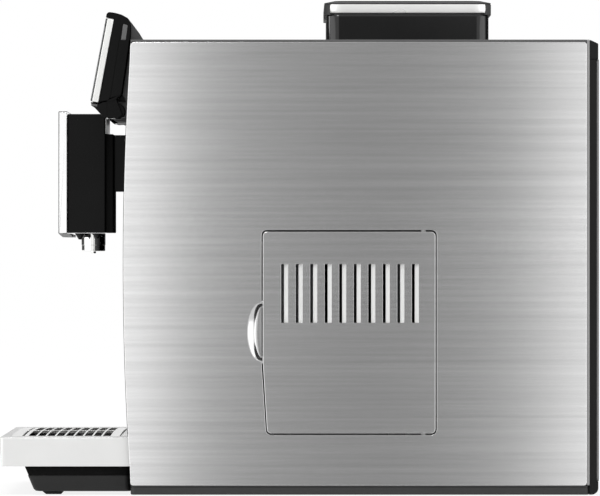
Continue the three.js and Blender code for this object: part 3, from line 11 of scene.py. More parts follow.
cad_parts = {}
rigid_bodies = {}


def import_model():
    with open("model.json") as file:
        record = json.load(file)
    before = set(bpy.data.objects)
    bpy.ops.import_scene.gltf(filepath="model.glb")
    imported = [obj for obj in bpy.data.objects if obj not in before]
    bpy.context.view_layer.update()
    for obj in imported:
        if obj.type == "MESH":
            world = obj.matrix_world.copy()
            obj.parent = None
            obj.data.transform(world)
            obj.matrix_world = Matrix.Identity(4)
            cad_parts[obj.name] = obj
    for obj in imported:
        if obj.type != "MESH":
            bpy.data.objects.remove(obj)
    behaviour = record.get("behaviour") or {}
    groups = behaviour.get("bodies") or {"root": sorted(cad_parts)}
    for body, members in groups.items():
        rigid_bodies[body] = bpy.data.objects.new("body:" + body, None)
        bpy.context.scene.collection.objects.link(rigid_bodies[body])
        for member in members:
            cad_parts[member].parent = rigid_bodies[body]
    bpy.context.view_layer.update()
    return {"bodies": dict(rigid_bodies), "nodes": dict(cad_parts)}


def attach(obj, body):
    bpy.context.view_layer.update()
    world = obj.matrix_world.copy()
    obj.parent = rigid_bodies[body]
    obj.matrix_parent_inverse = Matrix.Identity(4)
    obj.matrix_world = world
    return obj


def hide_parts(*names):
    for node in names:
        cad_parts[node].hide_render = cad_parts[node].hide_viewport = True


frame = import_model()

# Sizes in millimetres, in the frame's axes: X across, Y to the rear, Z up

HALF_BODY = 151.0
SHEET = 1.5
CASING_TOP = 339.75
CASING_BOTTOM = 7.1
CASING_FRONT = -126.4
CASING_REAR = 215.8
BOW = 5.8
COVER_TOP = 341.6
BACK_FACE = 218.0
BACK_HALF = 150.5
TRAY_FRONT = -225.0
TRAY_TOP = 43.0
SPOUT_FOOT = 196.4
SPOUT_HEAD = 289.5
SPOUT_HALF = 44.6
CONSOLE_HALF = 134.6
FACE_FOOT = np.array([-157.1, 295.6])
FACE_HEAD = np.array([-145.3, 358.6])
FACE_LENGTH = float(np.hypot(*(FACE_HEAD - FACE_FOOT)))
LEAN = float(np.arctan2(*(FACE_HEAD - FACE_FOOT)))
CONSOLE_HINGE = (-136.6, 288.0)
DOOR_PIVOT = (146.5, 93.4)
RECESS = (-28.2, 122.1)
RECESS_REACH = 10.4
RECESS_RISE = 22.1


def casing_front(height):
    """The casing's front: a parabola in height, bulging by BOW halfway between its bottom and top."""
    share = (height - (CASING_TOP + CASING_BOTTOM) / 2) / ((CASING_TOP - CASING_BOTTOM) / 2)
    return CASING_FRONT - BOW * (1 - share**2)


# Ways to lay an outline's two coordinates and its travel into X, Y and Z


def level(across, along, travel):
    """Outline in X and Y, carried up Z."""
    return across, along, travel


def side_on(across, along, travel):
    """Outline in Y and Z, carried along X."""
    return travel, across, along


def face_on(across, along, travel):
    """Outline in X and Z, carried along Y."""
    return across, travel, along


def console_on(across, along, travel):
    """Outline in X and up the console's leaning face, carried into its depth: the way up counts by the
    lean's sine in Y and its cosine in Z, and the depth by its cosine in Y and less its sine in Z."""
    ahead = FACE_FOOT[0] + along * np.sin(LEAN) + travel * np.cos(LEAN)
    up = FACE_FOOT[1] + along * np.cos(LEAN) - travel * np.sin(LEAN)
    return across, ahead, up


# Outlines


def unit(vectors):
    """Vectors divided by their lengths."""
    return vectors / np.linalg.norm(vectors, axis=-1, keepdims=True)


def turned_left(outline):
    """The outline in the order that keeps its inside on the left, told by the sign of its area."""
    ahead = np.roll(outline, -1, 0)
    area = (outline[:, 0] * ahead[:, 1] - ahead[:, 0] * outline[:, 1]).sum()
    return outline if area > 0 else outline[::-1]


def eased(points, radii, hold=0.3, steps=5):
    """An outline with rounded corners. Each arc touches both edges of its corner: its centre lies on the
    bisector, radius over the sine of the half angle away, and its ends lie radius over the tangent away.
    A held point follows on the flat beyond each end, so that the flat shades flat."""
    points = np.asarray(points, float)
    radii = np.broadcast_to(np.asarray(radii, float), len(points))[:, None]
    back = unit(np.roll(points, 1, 0) - points)
    ahead = unit(np.roll(points, -1, 0) - points)
    half = np.arccos(np.clip((back * ahead).sum(1), -1, 1))[:, None] / 2
    reach = radii / np.tan(half)
    centre = points + unit(back + ahead) * radii / np.sin(half)
    first = points + back * reach - centre
    last = points + ahead * reach - centre
    turn = (np.pi - 2 * half)[:, :, None]
    share = np.linspace(0, 1, steps + 1)[None, :, None]
    arc = first[:, None] * np.sin((1 - share) * turn) + last[:, None] * np.sin(share * turn)
    arc = centre[:, None] + arc / np.sin(turn)
    before = (points + back * (reach + hold))[:, None]
    after = (points + ahead * (reach + hold))[:, None]
    rows = np.concatenate([before, arc, after], 1)
    keep = np.ones(rows.shape[:2], bool)
    keep[radii[:, 0] == 0] = False
    keep[radii[:, 0] == 0, 1] = True
    outline = rows[keep]
    apart = np.linalg.norm(outline - np.roll(outline, 1, 0), axis=1) > 1e-5
    return turned_left(outline[apart])


def oblong(left, right, low, high, radius, hold=0.3, steps=5):
    """A rectangle with rounded corners."""
    return eased([(left, low), (right, low), (right, high), (left, high)], radius, hold, steps)


def inset(outline, depths):
    """The outline moved inwards by each depth: a point follows the sum of its two edges' inward normals,
    times the depth over one plus the cosine between them."""
    ahead = unit(np.roll(outline, -1, 0) - outline)
    normal = np.stack([-ahead[:, 1], ahead[:, 0]], 1)
    last = np.roll(normal, 1, 0)
    both = (normal + last) / (1 + (normal * last).sum(1, keepdims=True))
    return outline + np.asarray(depths, float)[:, None, None] * both


def rim(radius, hold=0.15):
    """A rounded edge in section, as insets and rises: a quarter circle in three steps, radius less its
    sine in and radius less its cosine up, between two held points."""
    if radius == 0:
        return np.zeros(1), np.zeros(1)
    turn = np.linspace(0, np.pi / 2, 4)
    insets = np.r_[radius + hold, radius * (1 - np.sin(turn)), 0]
    rises = np.r_[0, radius * (1 - np.cos(turn)), radius + hold]
    return insets, rises


# Surfaces: each returns points as an array and faces as lists of indices


def bridge(ring, other):
    """Faces between two rings of indices: each point joins its fellow and the two that follow."""
    return np.stack([ring, np.roll(ring, -1), np.roll(other, -1), other], 1).tolist()


def skin(rings, first=0):
    """Faces between rings of equal count: point j of a ring joins point j of the next."""
    count, points = rings.shape[:2]
    ring = np.arange(count - 1)[:, None] * points + first
    here = np.arange(points)
    after = np.roll(here, -1)
    quads = [ring + here, ring + after, ring + points + after, ring + points + here]
    return np.stack(quads, -1).reshape(-1, 4).tolist()


def cap(loops, indices):
    """Triangles that fill the first loop and leave out the others."""
    if len(loops) == 1:
        return [indices[0].tolist()]
    flat = [[Vector((*point, 0)) for point in loop.tolist()] for loop in loops]
    return np.concatenate(indices)[np.array(tessellate_polygon(flat))].tolist()


def placed(rings, heights, lay):
    """Rings in an outline's plane and their travel, laid into X, Y and Z."""
    travel = np.broadcast_to(np.asarray(heights, float)[:, None], rings.shape[:2])
    return np.stack(lay(rings[..., 0], rings[..., 1], travel), -1).reshape(-1, 3)


def capped(rings, travel, lay=level):
    """Rings joined in turn, with the first and the last filled."""
    count, points = rings.shape[:2]
    end = np.arange(points)
    faces = skin(rings) + [end.tolist(), (end + (count - 1) * points).tolist()]
    return placed(rings, travel, lay), faces


def block(outline, low, high, edge, lay=level, low_edge=None, holes=(), hole_edge=None):
    """An outline carried straight from low to high with both of its edges rounded. Each hole is carried
    the same way, its edges rounded outwards, and both ends are filled between them."""
    points, faces, starts, ends, first = [], [], [], [], 0
    loops = [turned_left(outline)] + [turned_left(hole)[::-1] for hole in holes]
    for number, loop in enumerate(loops):
        insets_high, rises_high = rim(edge if number == 0 or hole_edge is None else hole_edge)
        insets_low, rises_low = rim(edge if low_edge is None else low_edge)
        rings = inset(loop, np.r_[insets_low, insets_high[::-1]])
        heights = np.r_[low + rises_low, high - rises_high[::-1]]
        points.append(placed(rings, heights, lay))
        faces += skin(rings, first)
        starts.append((rings[0], first + np.arange(len(loop))))
        first += rings.shape[0] * len(loop)
        ends.append((rings[-1], first - len(loop) + np.arange(len(loop))))
    faces += cap(*zip(*starts)) + cap(*zip(*ends))
    return np.concatenate(points), faces


def bar(corners, left, right, edge, hold=0.05):
    """A side view's outline, its corners given as (y, z, radius), carried across from left to right."""
    corners = np.asarray(corners, float)
    return block(eased(corners[:, :2], corners[:, 2], hold), left, right, edge, side_on)


def carried(outline, insets, heights):
    """An outline carried up through heights while it moves in or out by insets, closed at both ends."""
    return capped(inset(turned_left(outline), insets), heights)


def stack(rows, steps=5):
    """Rounded rectangles (half width, front, rear, radius, height), joined in turn and closed at both
    ends."""
    rings = [oblong(-row[0], row[0], *row[1:4], 0.3, steps) for row in rows]
    return capped(np.array(rings), [row[4] for row in rows])


def tub(left, right, front, rear, corner, low, high, wall):
    """An open box: one outline carried up its outside, over a rim that is half a circle, and down its
    inside to a floor as thick as the wall."""
    insets_low, rises_low = rim(1.5)
    over = np.linspace(np.pi, 0, 5)
    insets = np.r_[insets_low, wall / 2 * (1 + np.cos(over)), wall, wall, wall + 2]
    rises = high - wall / 2 + wall / 2 * np.sin(over)
    heights = np.r_[low + rises_low, rises, high - 2 * wall, low + wall + 2, low + wall]
    return carried(oblong(left, right, front, rear, corner), insets, heights)


def hood(outline, low, high, wall, edge, hole, hole_edge):
    """A cover open below: its wall's outside, its top with one hole, and its inside, all one closed skin."""
    outline = turned_left(outline)
    hole = turned_left(hole)[::-1]
    insets, rises = rim(edge)
    outside = inset(outline, np.r_[insets, insets[::-1]])
    outside_heights = np.r_[low + rises, high - rises[::-1]]
    insets, rises = rim(hole_edge)
    through = inset(hole, np.r_[insets, 0])
    through_heights = np.r_[high - rises, high - wall]
    inside = inset(outline, [wall, wall])
    parts = (outside, outside_heights), (through, through_heights), (inside, [high - wall, low])
    points = [placed(rings, heights, level) for rings, heights in parts]
    count = np.cumsum([0] + [len(part) for part in points])
    faces = [face for part, first in zip(parts, count) for face in skin(part[0], int(first))]
    here, other = np.arange(len(outline)), np.arange(len(hole))
    faces += cap([outside[-1], through[0]], [count[1] - len(outline) + here, count[1] + other])
    faces += cap([inside[0], through[-1]], [count[2] + here, count[2] - len(hole) + other])
    faces += bridge(here, count[3] - len(outline) + here)
    return np.concatenate(points), faces


def turned(profile, centre, sides=40, lay=level, grip=0, grip_depth=0.0):
    """A profile (radius, travel) carried round an axis and closed at both ends. With a grip, a radius
    over 5 mm gains a cosine that repeats that many times in a turn."""
    radius, travel = np.asarray(profile, float).T
    turn = np.arange(sides) * 2 * np.pi / sides
    reach = radius[:, None] + grip_depth * np.cos(grip * turn)[None, :] * (radius > 5)[:, None]
    rings = np.stack([reach * np.cos(turn), reach * np.sin(turn)], -1)
    points, faces = capped(rings, travel, lay)
    return points + np.array(centre, float), faces


def round_edge(radius, low, high, edge, low_edge=None):
    """A cylinder's profile (radius, travel) with both of its edges rounded."""
    insets_high, rises_high = rim(edge, 0.1)
    insets_low, rises_low = rim(edge if low_edge is None else low_edge, 0.1)
    radii = radius - np.r_[insets_low, insets_high[::-1]]
    return np.stack([radii, np.r_[low + rises_low, high - rises_high[::-1]]], 1)


def shell_of(points, solid, width, through):
    """Two skins over a grid's solid cells, the second moved by through, with walls along every border.
    A border is an edge that only one cell has."""
    row, column = np.nonzero(solid)
    corner = row * width + column
    quads = np.stack([corner, corner + 1, corner + width + 1, corner + width], 1)
    edges = np.stack([quads, np.roll(quads, -1, 1)], -1).reshape(-1, 2)
    key = np.sort(edges, 1) @ np.array([1, len(points)])
    _, place, times = np.unique(key, return_index=True, return_counts=True)
    border = edges[place[times == 1]]
    count = len(points)
    walls = np.stack([border[:, 1], border[:, 0], border[:, 0] + count, border[:, 1] + count], 1)
    faces = np.concatenate([quads, quads[:, ::-1] + count, walls]).tolist()
    return np.concatenate([points, points + through]), faces


def bowed(across, heights, thickness, setback=0.0, openings=()):
    """A sheet on a grid of across and height whose front follows the casing's bow, without the grid's
    cells in the openings. The rear skin is the front one moved back, and borders join the two."""
    across, heights = np.asarray(across, float), np.asarray(heights, float)
    x, z = np.meshgrid(across, heights)
    y = casing_front(z) + setback
    points = np.stack([x, y, z], -1).reshape(-1, 3)
    middle_x = (across[1:] + across[:-1]) / 2
    middle_z = (heights[1:] + heights[:-1]) / 2
    solid = np.ones((len(middle_z), len(middle_x)), bool)
    for left, right, low, high in openings:
        inside = (middle_x > left) & (middle_x < right)
        solid &= ~(((middle_z > low) & (middle_z < high))[:, None] & inside[None, :])
    return shell_of(points, solid, len(across), [0, thickness, 0])


def joined(*shapes):
    """Several surfaces as one: their points in a row and their faces' indices moved on."""
    points, faces, first = [], [], 0
    for shape_points, shape_faces in shapes:
        points.append(shape_points)
        faces += [[index + first for index in face] for face in shape_faces]
        first += len(shape_points)
    return np.concatenate(points), faces


def mirrored(shape):
    """The same surface on the other side of the machine: X changes its sign."""
    return shape[0] * [-1, 1, 1], shape[1]


def crowned(shape, left, right, rise):
    """A surface lifted by a parabola along X that is nothing at left and right and rise between them."""
    points = shape[0].copy()
    share = (2 * points[:, 0] - left - right) / (right - left)
    points[:, 2] += rise * np.clip(1 - share**2, 0, 1)
    return points, shape[1]


# Finishes


def linear(code):
    """An sRGB hex colour as linear light: divided by 12.92 when dark, else the 2.4 power curve."""
    share = np.array([int(code[place : place + 2], 16) for place in (1, 3, 5)]) / 255
    light = np.where(share <= 0.04045, share / 12.92, ((share + 0.055) / 1.055) ** 2.4)
    return (*light.tolist(), 1.0)


def add(tree, kind, inputs=None, **settings):
    """Adds a shader node, applies its settings, and gives each named input its value or its link."""
    node = tree.nodes.new("ShaderNode" + kind)
    for name, value in settings.items():
        setattr(node, name, value)
    for name, value in (inputs or {}).items():
        if isinstance(value, bpy.types.NodeSocket):
            tree.links.new(value, node.inputs[name])
        else:
            node.inputs[name].default_value = value
    return node


def start(name):
    """A new material's tree and its object coordinates in metres."""
    material = bpy.data.materials.new(name)
    material.use_nodes = True
    material.node_tree.nodes.clear()
    place = add(material.node_tree, "TexCoord").outputs["Object"]
    return material, material.node_tree, place


def close(material, tree, inputs):
    """Ends a material in one principled shader with those inputs."""
    shader = add(tree, "BsdfPrincipled", inputs)
    add(tree, "OutputMaterial", {"Surface": shader.outputs["BSDF"]})
    return material


NOISE_SPAN = {1: 0.3, 2: 0.7}  # Map Range inputs: a noise stays between these nearly everywhere
TO_WORLD = {"vector_type": "VECTOR", "convert_from": "OBJECT", "convert_to": "WORLD"}


def brushed_stainless(name, grain, tangent, shades, roughness=0.15):
    """Stainless steel sheet, brushed one way: long fine scratches, and a highlight drawn out across them.
    Real scratches are about 0.05 mm wide; they are drawn 0.5 mm wide and 50 mm long, as coarse as a
    render shows. The grain is the Mapping scale of one over those lengths. Bands seven times as coarse
    carry the tone, the fine streaks count 0.27 against them, and their sum from 0.35 to 0.92 runs through
    the two shades."""
    material, tree, place = start(name)
    fine = add(tree, "Mapping", {"Vector": place, "Scale": grain})
    streak = add(tree, "TexNoise", {"Vector": fine.outputs[0], "Scale": 1.0, "Detail": 3.0})
    broad = add(tree, "Mapping", {"Vector": place, "Scale": [value / 7 for value in grain]})
    band = add(tree, "TexNoise", {"Vector": broad.outputs[0], "Scale": 1.0, "Detail": 1.0})
    both = add(tree, "Math", {0: streak.outputs[0], 1: 0.27, 2: band.outputs[0]}, operation="MULTIPLY_ADD")
    share = add(tree, "MapRange", {0: both.outputs[0], 1: 0.35, 2: 0.92})
    tint = add(tree, "Mix", {0: share.outputs[0], 6: shades[0], 7: shades[1]}, data_type="RGBA")
    ends = {3: roughness * 0.9, 4: roughness * 1.1}
    rough = add(tree, "MapRange", {0: streak.outputs[0], **NOISE_SPAN, **ends})
    bump = add(tree, "Bump", {"Height": streak.outputs[0], "Strength": 0.06, "Distance": 0.0001})
    drawn = add(tree, "VectorTransform", {0: tangent}, **TO_WORLD)
    inputs = {
        "Base Color": tint.outputs[2],
        "Metallic": 1.0,
        "Roughness": rough.outputs[0],
        "Anisotropic": 1.0,
        "Tangent": drawn.outputs[0],
        "Normal": bump.outputs[0],
    }
    return close(material, tree, inputs)


def moulded_plastic(name, shades, roughness, grit, relief, level, metallic, coat):
    """Injection moulded ABS. The tool leaves a spark-eroded grit, a slight unevenness of tone over about
    40 mm from the flow, and gloss that varies with both. Grit is the real 0.1 mm drawn coarser, in mm."""
    material, tree, place = start(name)
    grain = add(tree, "TexNoise", {"Vector": place, "Scale": 1000.0 / grit, "Detail": 2.0})
    flow = add(tree, "TexNoise", {"Vector": place, "Scale": 25.0, "Detail": 2.0})
    tint = add(tree, "Mix", {0: flow.outputs[0], 6: shades[0], 7: shades[1]}, data_type="RGBA")
    ends = {3: roughness * 0.88, 4: roughness * 1.12}
    rough = add(tree, "MapRange", {0: flow.outputs[0], **NOISE_SPAN, **ends})
    bump = add(tree, "Bump", {"Height": grain.outputs[0], "Strength": relief, "Distance": 0.0001})
    inputs = {
        "Base Color": tint.outputs[2],
        "Metallic": metallic,
        "Roughness": rough.outputs[0],
        "IOR": 1.53,
        "Specular IOR Level": level,
        "Coat Weight": coat,
        "Normal": bump.outputs[0],
    }
    return close(material, tree, inputs)


def polished_chrome(name, shades, roughness):
    """Chrome plate over moulded plastic: a mirror with a faint haze that varies over about 15 mm."""
    material, tree, place = start(name)
    haze = add(tree, "TexNoise", {"Vector": place, "Scale": 66.0, "Detail": 3.0})
    ends = {3: roughness * 0.7, 4: roughness * 1.4}
    rough = add(tree, "MapRange", {0: haze.outputs[0], **NOISE_SPAN, **ends})
    tint = add(tree, "Mix", {0: haze.outputs[0], 6: shades[0], 7: shades[1]}, data_type="RGBA")
    inputs = {"Base Color": tint.outputs[2], "Metallic": 1.0, "Roughness": rough.outputs[0]}
    return close(material, tree, inputs)


def galvanised_sheet(name, shades):
    """Hot dipped zinc on steel: spangles about 6 mm across, each crystal a slightly different grey."""
    material, tree, place = start(name)
    spangle = add(tree, "TexVoronoi", {"Vector": place, "Scale": 170.0}, feature="F1")
    grey = add(tree, "RGBToBW", {0: spangle.outputs["Color"]})
    tint = add(tree, "Mix", {0: grey.outputs[0], 6: shades[0], 7: shades[1]}, data_type="RGBA")
    rough = add(tree, "MapRange", {0: grey.outputs[0], 3: 0.32, 4: 0.48})
    inputs = {"Base Color": tint.outputs[2], "Metallic": 0.85, "Roughness": rough.outputs[0]}
    return close(material, tree, inputs)


def cast_metal(name, shades, roughness, grit):
    """Cast or forged metal, shot blasted: a matt grain of about the grit's size, in mm."""
    material, tree, place = start(name)
    grain = add(tree, "TexNoise", {"Vector": place, "Scale": 1000.0 / grit, "Detail": 4.0})
    tint = add(tree, "Mix", {0: grain.outputs[0], 6: shades[0], 7: shades[1]}, data_type="RGBA")
    bump = add(tree, "Bump", {"Height": grain.outputs[0], "Strength": 0.3, "Distance": 0.0004})
    inputs = {"Base Color": tint.outputs[2], "Metallic": 0.9, "Roughness": roughness}
    return close(material, tree, {**inputs, "Normal": bump.outputs[0]})


def clear_plastic(name, shade, roughness, ior):
    """Clear moulded SAN or toughened glass: see-through, with a slight waviness over about 30 mm."""
    material, tree, place = start(name)
    wave = add(tree, "TexNoise", {"Vector": place, "Scale": 33.0, "Detail": 1.0})
    ends = {3: roughness, 4: roughness * 1.8}
    rough = add(tree, "MapRange", {0: wave.outputs[0], **NOISE_SPAN, **ends})
    bump = add(tree, "Bump", {"Height": wave.outputs[0], "Strength": 0.008, "Distance": 0.001})
    inputs = {
        "Base Color": linear(shade),
        "Roughness": rough.outputs[0],
        "IOR": ior,
        "Transmission Weight": 1.0,
        "Normal": bump.outputs[0],
    }
    return close(material, tree, inputs)


def circuit_laminate(name, shades):
    """Glass fibre laminate under green lacquer: copper tracks 1 mm wide show as lighter lines."""
    material, tree, place = start(name)
    layout = {"Scale": 100.0, "Mortar Size": 0.06, "Row Height": 0.35, "Brick Width": 1.4}
    tracks = add(tree, "TexBrick", {"Vector": place, **layout})
    tint = add(tree, "Mix", {0: tracks.outputs["Fac"], 6: shades[0], 7: shades[1]}, data_type="RGBA")
    return close(material, tree, {"Base Color": tint.outputs[2], "Roughness": 0.42, "IOR": 1.5})


def lit_display(name, shades):
    """Liquid crystal panel behind black glass: near black, with plain soft touch rings and dots, worked
    out from the distance to points 36 mm apart across the panel, at 326.5 mm up. A ring is 8.5 mm in
    radius and 0.8 mm wide, and a dot is 1.2 mm in radius."""
    material, tree, place = start(name)
    parts = add(tree, "SeparateXYZ", {0: place})
    across = add(tree, "Math", {0: parts.outputs[0], 1: 0.036}, operation="PINGPONG")
    sideways = add(tree, "Math", {0: across.outputs[0], 1: 0.018}, operation="SUBTRACT")
    height = add(tree, "Math", {0: parts.outputs[2], 1: 0.3265}, operation="SUBTRACT")
    point = add(tree, "CombineXYZ", {0: sideways.outputs[0], 1: height.outputs[0]})
    away = add(tree, "VectorMath", {0: point.outputs[0]}, operation="LENGTH")
    ring = add(tree, "Math", {0: away.outputs["Value"], 1: 0.0085, 2: 0.0004}, operation="COMPARE")
    dot = add(tree, "Math", {0: away.outputs["Value"], 1: 0.0012}, operation="LESS_THAN")
    lit = add(tree, "Math", {0: ring.outputs[0], 1: dot.outputs[0]}, operation="MAXIMUM")
    tint = add(tree, "Mix", {0: lit.outputs[0], 6: shades[0], 7: shades[1]}, data_type="RGBA")
    inputs = {
        "Base Color": linear("#08090A"),
        "Roughness": 0.25,
        "Emission Color": tint.outputs[2],
        "Emission Strength": 0.7,
    }
    return close(material, tree, inputs)


# Each row: the material's name, its two shades, roughness, grit, relief, specular level, metallic, coat

MOULDED = {
    # Body plastic from a finely eroded tool: an even, dull black
    "black_plastic": ("moulded_black_abs", "#151515 #1E1E1E", 0.5, 0.6, 0.12, 0.3, 0.0, 0.0),
    # Polished tool: deep black with clear, weak reflections
    "gloss_black": ("gloss_black_abs", "#070707 #0A0A0A", 0.12, 1.5, 0.02, 0.11, 0.0, 0.0),
    # Body plastic in dark grey: dull and even
    "dark_grey_plastic": ("moulded_dark_grey_abs", "#434343 #4A4A4A", 0.5, 0.6, 0.12, 0.3, 0.0, 0.0),
    # Body plastic in light grey: dull and even
    "light_grey_plastic": ("moulded_light_grey_abs", "#C6C7C8 #CDCECF", 0.45, 0.6, 0.12, 0.4, 0.0, 0.0),
    # Silver lacquer under a thin clear coat: a pale metal sheen that blurs what it mirrors
    "silver_trim": ("silver_lacquered_abs", "#E6E6E5 #ECECEB", 0.34, 0.3, 0.04, 0.5, 0.4, 0.15),
    # Mirror lacquer: nearly a metal mirror, a little soft
    "spout_face": ("mirror_lacquered_abs", "#ECECEC #F2F2F2", 0.1, 0.3, 0.01, 0.5, 0.9, 0.0),
    # White body plastic of the door's inner plate: bright and dull
    "white_plastic": ("moulded_white_abs", "#E7E7E6 #ECECEB", 0.45, 0.6, 0.12, 0.4, 0.0, 0.0),
    # Body plastic of the top cover in middle grey: dull and even
    "cover_grey": ("moulded_mid_grey_abs", "#545454 #5A5A5A", 0.5, 0.6, 0.12, 0.3, 0.0, 0.0),
    # Satin dark grey lacquer with a wide, soft highlight, as painted reflection: the chrome rim's rounded
    # ends coloured for the dark they mirror
    "rim_painted_dark_reflection": ("satin_dark_grey_abs", "#404040 #464646", 0.4, 0.3, 0.03, 0.3, 0.0, 0.0),
    # Body plastic of the base in charcoal: dull and even
    "base_grey": ("moulded_charcoal_abs", "#2E2E2E #343434", 0.5, 0.6, 0.12, 0.3, 0.0, 0.0),
    # Chemically etched tool: a black that takes nearly all light
    "matt_black": ("etched_black_abs", "#141414 #191919", 0.9, 0.6, 0.12, 0.05, 0.0, 0.0),
    # Coarsely textured tool at the back: black with a faint, wide sheen
    "back_black": ("textured_black_abs", "#121212 #171717", 0.6, 0.6, 0.12, 0.15, 0.0, 0.0),
    # Not moulded but powder painted sheet, on the same nodes: an even satin grey
    "rear_grey": ("painted_grey_sheet", "#6A6A6A #727272", 0.5, 0.3, 0.05, 0.3, 0.0, 0.0),
    # Satin grey lacquer with a soft highlight, as painted highlight: strips on the gloss black console that
    # stand for the light its rounded rear corners and lower lip catch
    "painted_highlight_grey": ("satin_grey_abs", "#5C5C5C #626262", 0.35, 0.3, 0.03, 0.4, 0.0, 0.0),
    # Polished tool of the bean bin: black with clear reflections
    "bin_black": ("polished_black_abs", "#0A0A0A #0D0D0D", 0.1, 1.5, 0.02, 0.5, 0.0, 0.0),
    # Bright lacquer in the finger recess: a grey metal mirror, a little soft
    "recess_lacquer": ("bright_lacquered_abs", "#C6C6C6 #CECECE", 0.12, 0.3, 0.01, 0.5, 0.92, 0.0),
    # Satin lacquer, middle grey with a soft highlight: the rear sheet's own colour, and on the spout's lip
    # and thin edges a painted shade of the silver plate
    "grey_satin": ("grey_satin_abs", "#8C8C8C #949494", 0.4, 0.3, 0.03, 0.4, 0.0, 0.0),
    # Satin chrome plate under a thin clear coat: near white metal that mirrors softly
    "chrome_trim": ("satin_chrome_plate", "#F0F0EE #F5F5F3", 0.28, 0.3, 0.02, 0.5, 0.45, 0.2),
    # Moulded rubber on the same nodes: black, with a grain that shows and hardly any gloss; on the door's
    # edge and the mount's groove it is painted shadow
    "rubber": ("moulded_rubber", "#161616 #1D1D1D", 0.8, 0.5, 0.3, 0.25, 0.0, 0.0),
}


def pair(codes):
    """Two hex colours, written with a space between them, as linear light."""
    return [linear(code) for code in codes.split()]


# Scratches along Y on the sides, and along X on the grille
ALONG_GRAIN = (2000.0, 20.0, 2000.0)
ACROSS_GRAIN = (20.0, 2000.0, 2000.0)
FINISHES = {slot: moulded_plastic(row[0], pair(row[1]), *row[2:]) for slot, row in MOULDED.items()}
FINISHES |= {
    "brushed_steel": brushed_stainless(
        "brushed_stainless_sheet", ALONG_GRAIN, (0, 0, 1), pair("#E2E2E2 #F3F3F3")
    ),
    "grille_steel": brushed_stainless(
        "brushed_stainless_grille", ACROSS_GRAIN, (0, 1, 0), pair("#D8D8D6 #E8E8E6"), 0.3
    ),
    "sleeve_chrome": polished_chrome("bright_chrome_plate", pair("#EDEDEB #F4F4F2"), 0.05),
    "galvanised_steel": galvanised_sheet("galvanised_sheet", pair("#8E9092 #B4B6B7")),
    "console_glass": clear_plastic("toughened_glass", "#F7F9F9", 0.02, 1.52),
    "display": lit_display("crystal_display", pair("#0A0B0D #C9D4DC")),
    "cast_alloy": cast_metal("cast_aluminium", pair("#97999B #AEB0B1"), 0.5, 1.0),
    "hard_steel": cast_metal("hardened_steel", pair("#77787A #8D8E90"), 0.3, 0.4),
    "circuit_board": circuit_laminate("circuit_laminate", pair("#1D5237 #3E7B55")),
    "clear_tank": clear_plastic("clear_moulded_san", "#E3EBEE", 0.04, 1.57),
}

# Pieces


def node_body(node):
    """The body that a CAD node moves with."""
    return next(key for key, empty in frame["bodies"].items() if frame["nodes"][node].parent == empty)


def piece(name, shape, node, slot, sharp=32.0, bevel=0.0, finish=None, body=None):
    """A mesh from points in millimetres and faces, that stands for a CAD node and moves with its body."""
    mesh = bpy.data.meshes.new(name)
    mesh.from_pydata((np.asarray(shape[0]) * 0.001).tolist(), [], shape[1])
    shell = bmesh.new()
    shell.from_mesh(mesh)
    bmesh.ops.recalc_face_normals(shell, faces=shell.faces)
    shell.to_mesh(mesh)
    shell.free()
    mesh.shade_smooth()
    mesh.set_sharp_from_angle(angle=np.radians(sharp))
    mesh.materials.append(FINISHES[finish or slot])
    made = bpy.data.objects.new(name, mesh)
    bpy.context.scene.collection.objects.link(made)
    if bevel:
        edge = made.modifiers.new("edge", "BEVEL")
        edge.width = bevel * 0.001
        edge.segments = 3
        edge.limit_method = "ANGLE"
        edge.angle_limit = np.radians(40)
        edge.harden_normals = True
    if node:
        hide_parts(node)
    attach(made, body or node_body(node))
    return made


def both_sides(name, shape, node, slot):
    """The right hand piece and its mirror image on the left."""
    piece(name + "_right", shape, node + "_right", slot)
    piece(name + "_left", mirrored(shape), node + "_left", slot)


# Side panels, one with the door's opening and the finger recess

# The front edge stays 0.45 mm behind the bow, and the front skin stands that much proud of it
bow_heights = np.linspace(CASING_TOP - 14, CASING_BOTTOM + 14, 24)
front_edge = np.stack([casing_front(bow_heights) + 0.45, bow_heights], 1)
side_points = [(CASING_REAR, CASING_BOTTOM), (CASING_REAR, CASING_TOP)]
side_points += [(casing_front(CASING_TOP), CASING_TOP), *front_edge.tolist()]
side_points += [(casing_front(CASING_BOTTOM), CASING_BOTTOM)]
side_outline = eased(side_points, [2.0, 2.0, 3.0, *[0] * len(front_edge), 2.0])

recess_turn = np.linspace(-np.pi / 2, np.pi / 2, 25)
recess_front = RECESS[0] - RECESS_REACH * np.cos(recess_turn)
recess_arc = np.stack([recess_front, RECESS[1] + RECESS_RISE * np.sin(recess_turn)], 1)
opening_points = [(103.4, 198.75), (103.4, 45.0), (-24.7, 45.0), *recess_arc.tolist(), (RECESS[0], 198.75)]
door_opening = eased(opening_points, [4.0, 4.0, 4.0, *[0] * len(recess_arc), 4.0])

right_panel = block(side_outline, HALF_BODY - SHEET, HALF_BODY, 0.3, side_on, 0.1, [door_opening], 0.12)
piece("side_panel_right", right_panel, "right_side_panel", "brushed_steel")
left_panel = block(side_outline, -HALF_BODY, SHEET - HALF_BODY, 0.1, side_on, 0.3)
piece("side_panel_left", left_panel, "left_side_panel", "brushed_steel")

# Service door: steel skin with ten slots, and the plate behind it with a slanted blade in each slot

SLOT_PITCH = 10.896
slot_fronts = (-13.5 + SLOT_PITCH * np.arange(10)).tolist()
door_slots = [oblong(front, front + 5.15, 129.15, 173.25, 0.5, 0.2, 3) for front in slot_fronts]
door_points = [(102.3, 197.4), (102.3, 46.2), (-23.8, 46.2), (-27.1, 100.0), (-27.1, 197.4)]
door_outline = eased(door_points, [3.0, 3.0, 3.0, 0, 3.0])
door_sheet = block(door_outline, HALF_BODY - SHEET, 150.9, 0.25, side_on, 0.1, door_slots, 0.06)
piece("door_sheet", door_sheet, "door_skin", "brushed_steel")

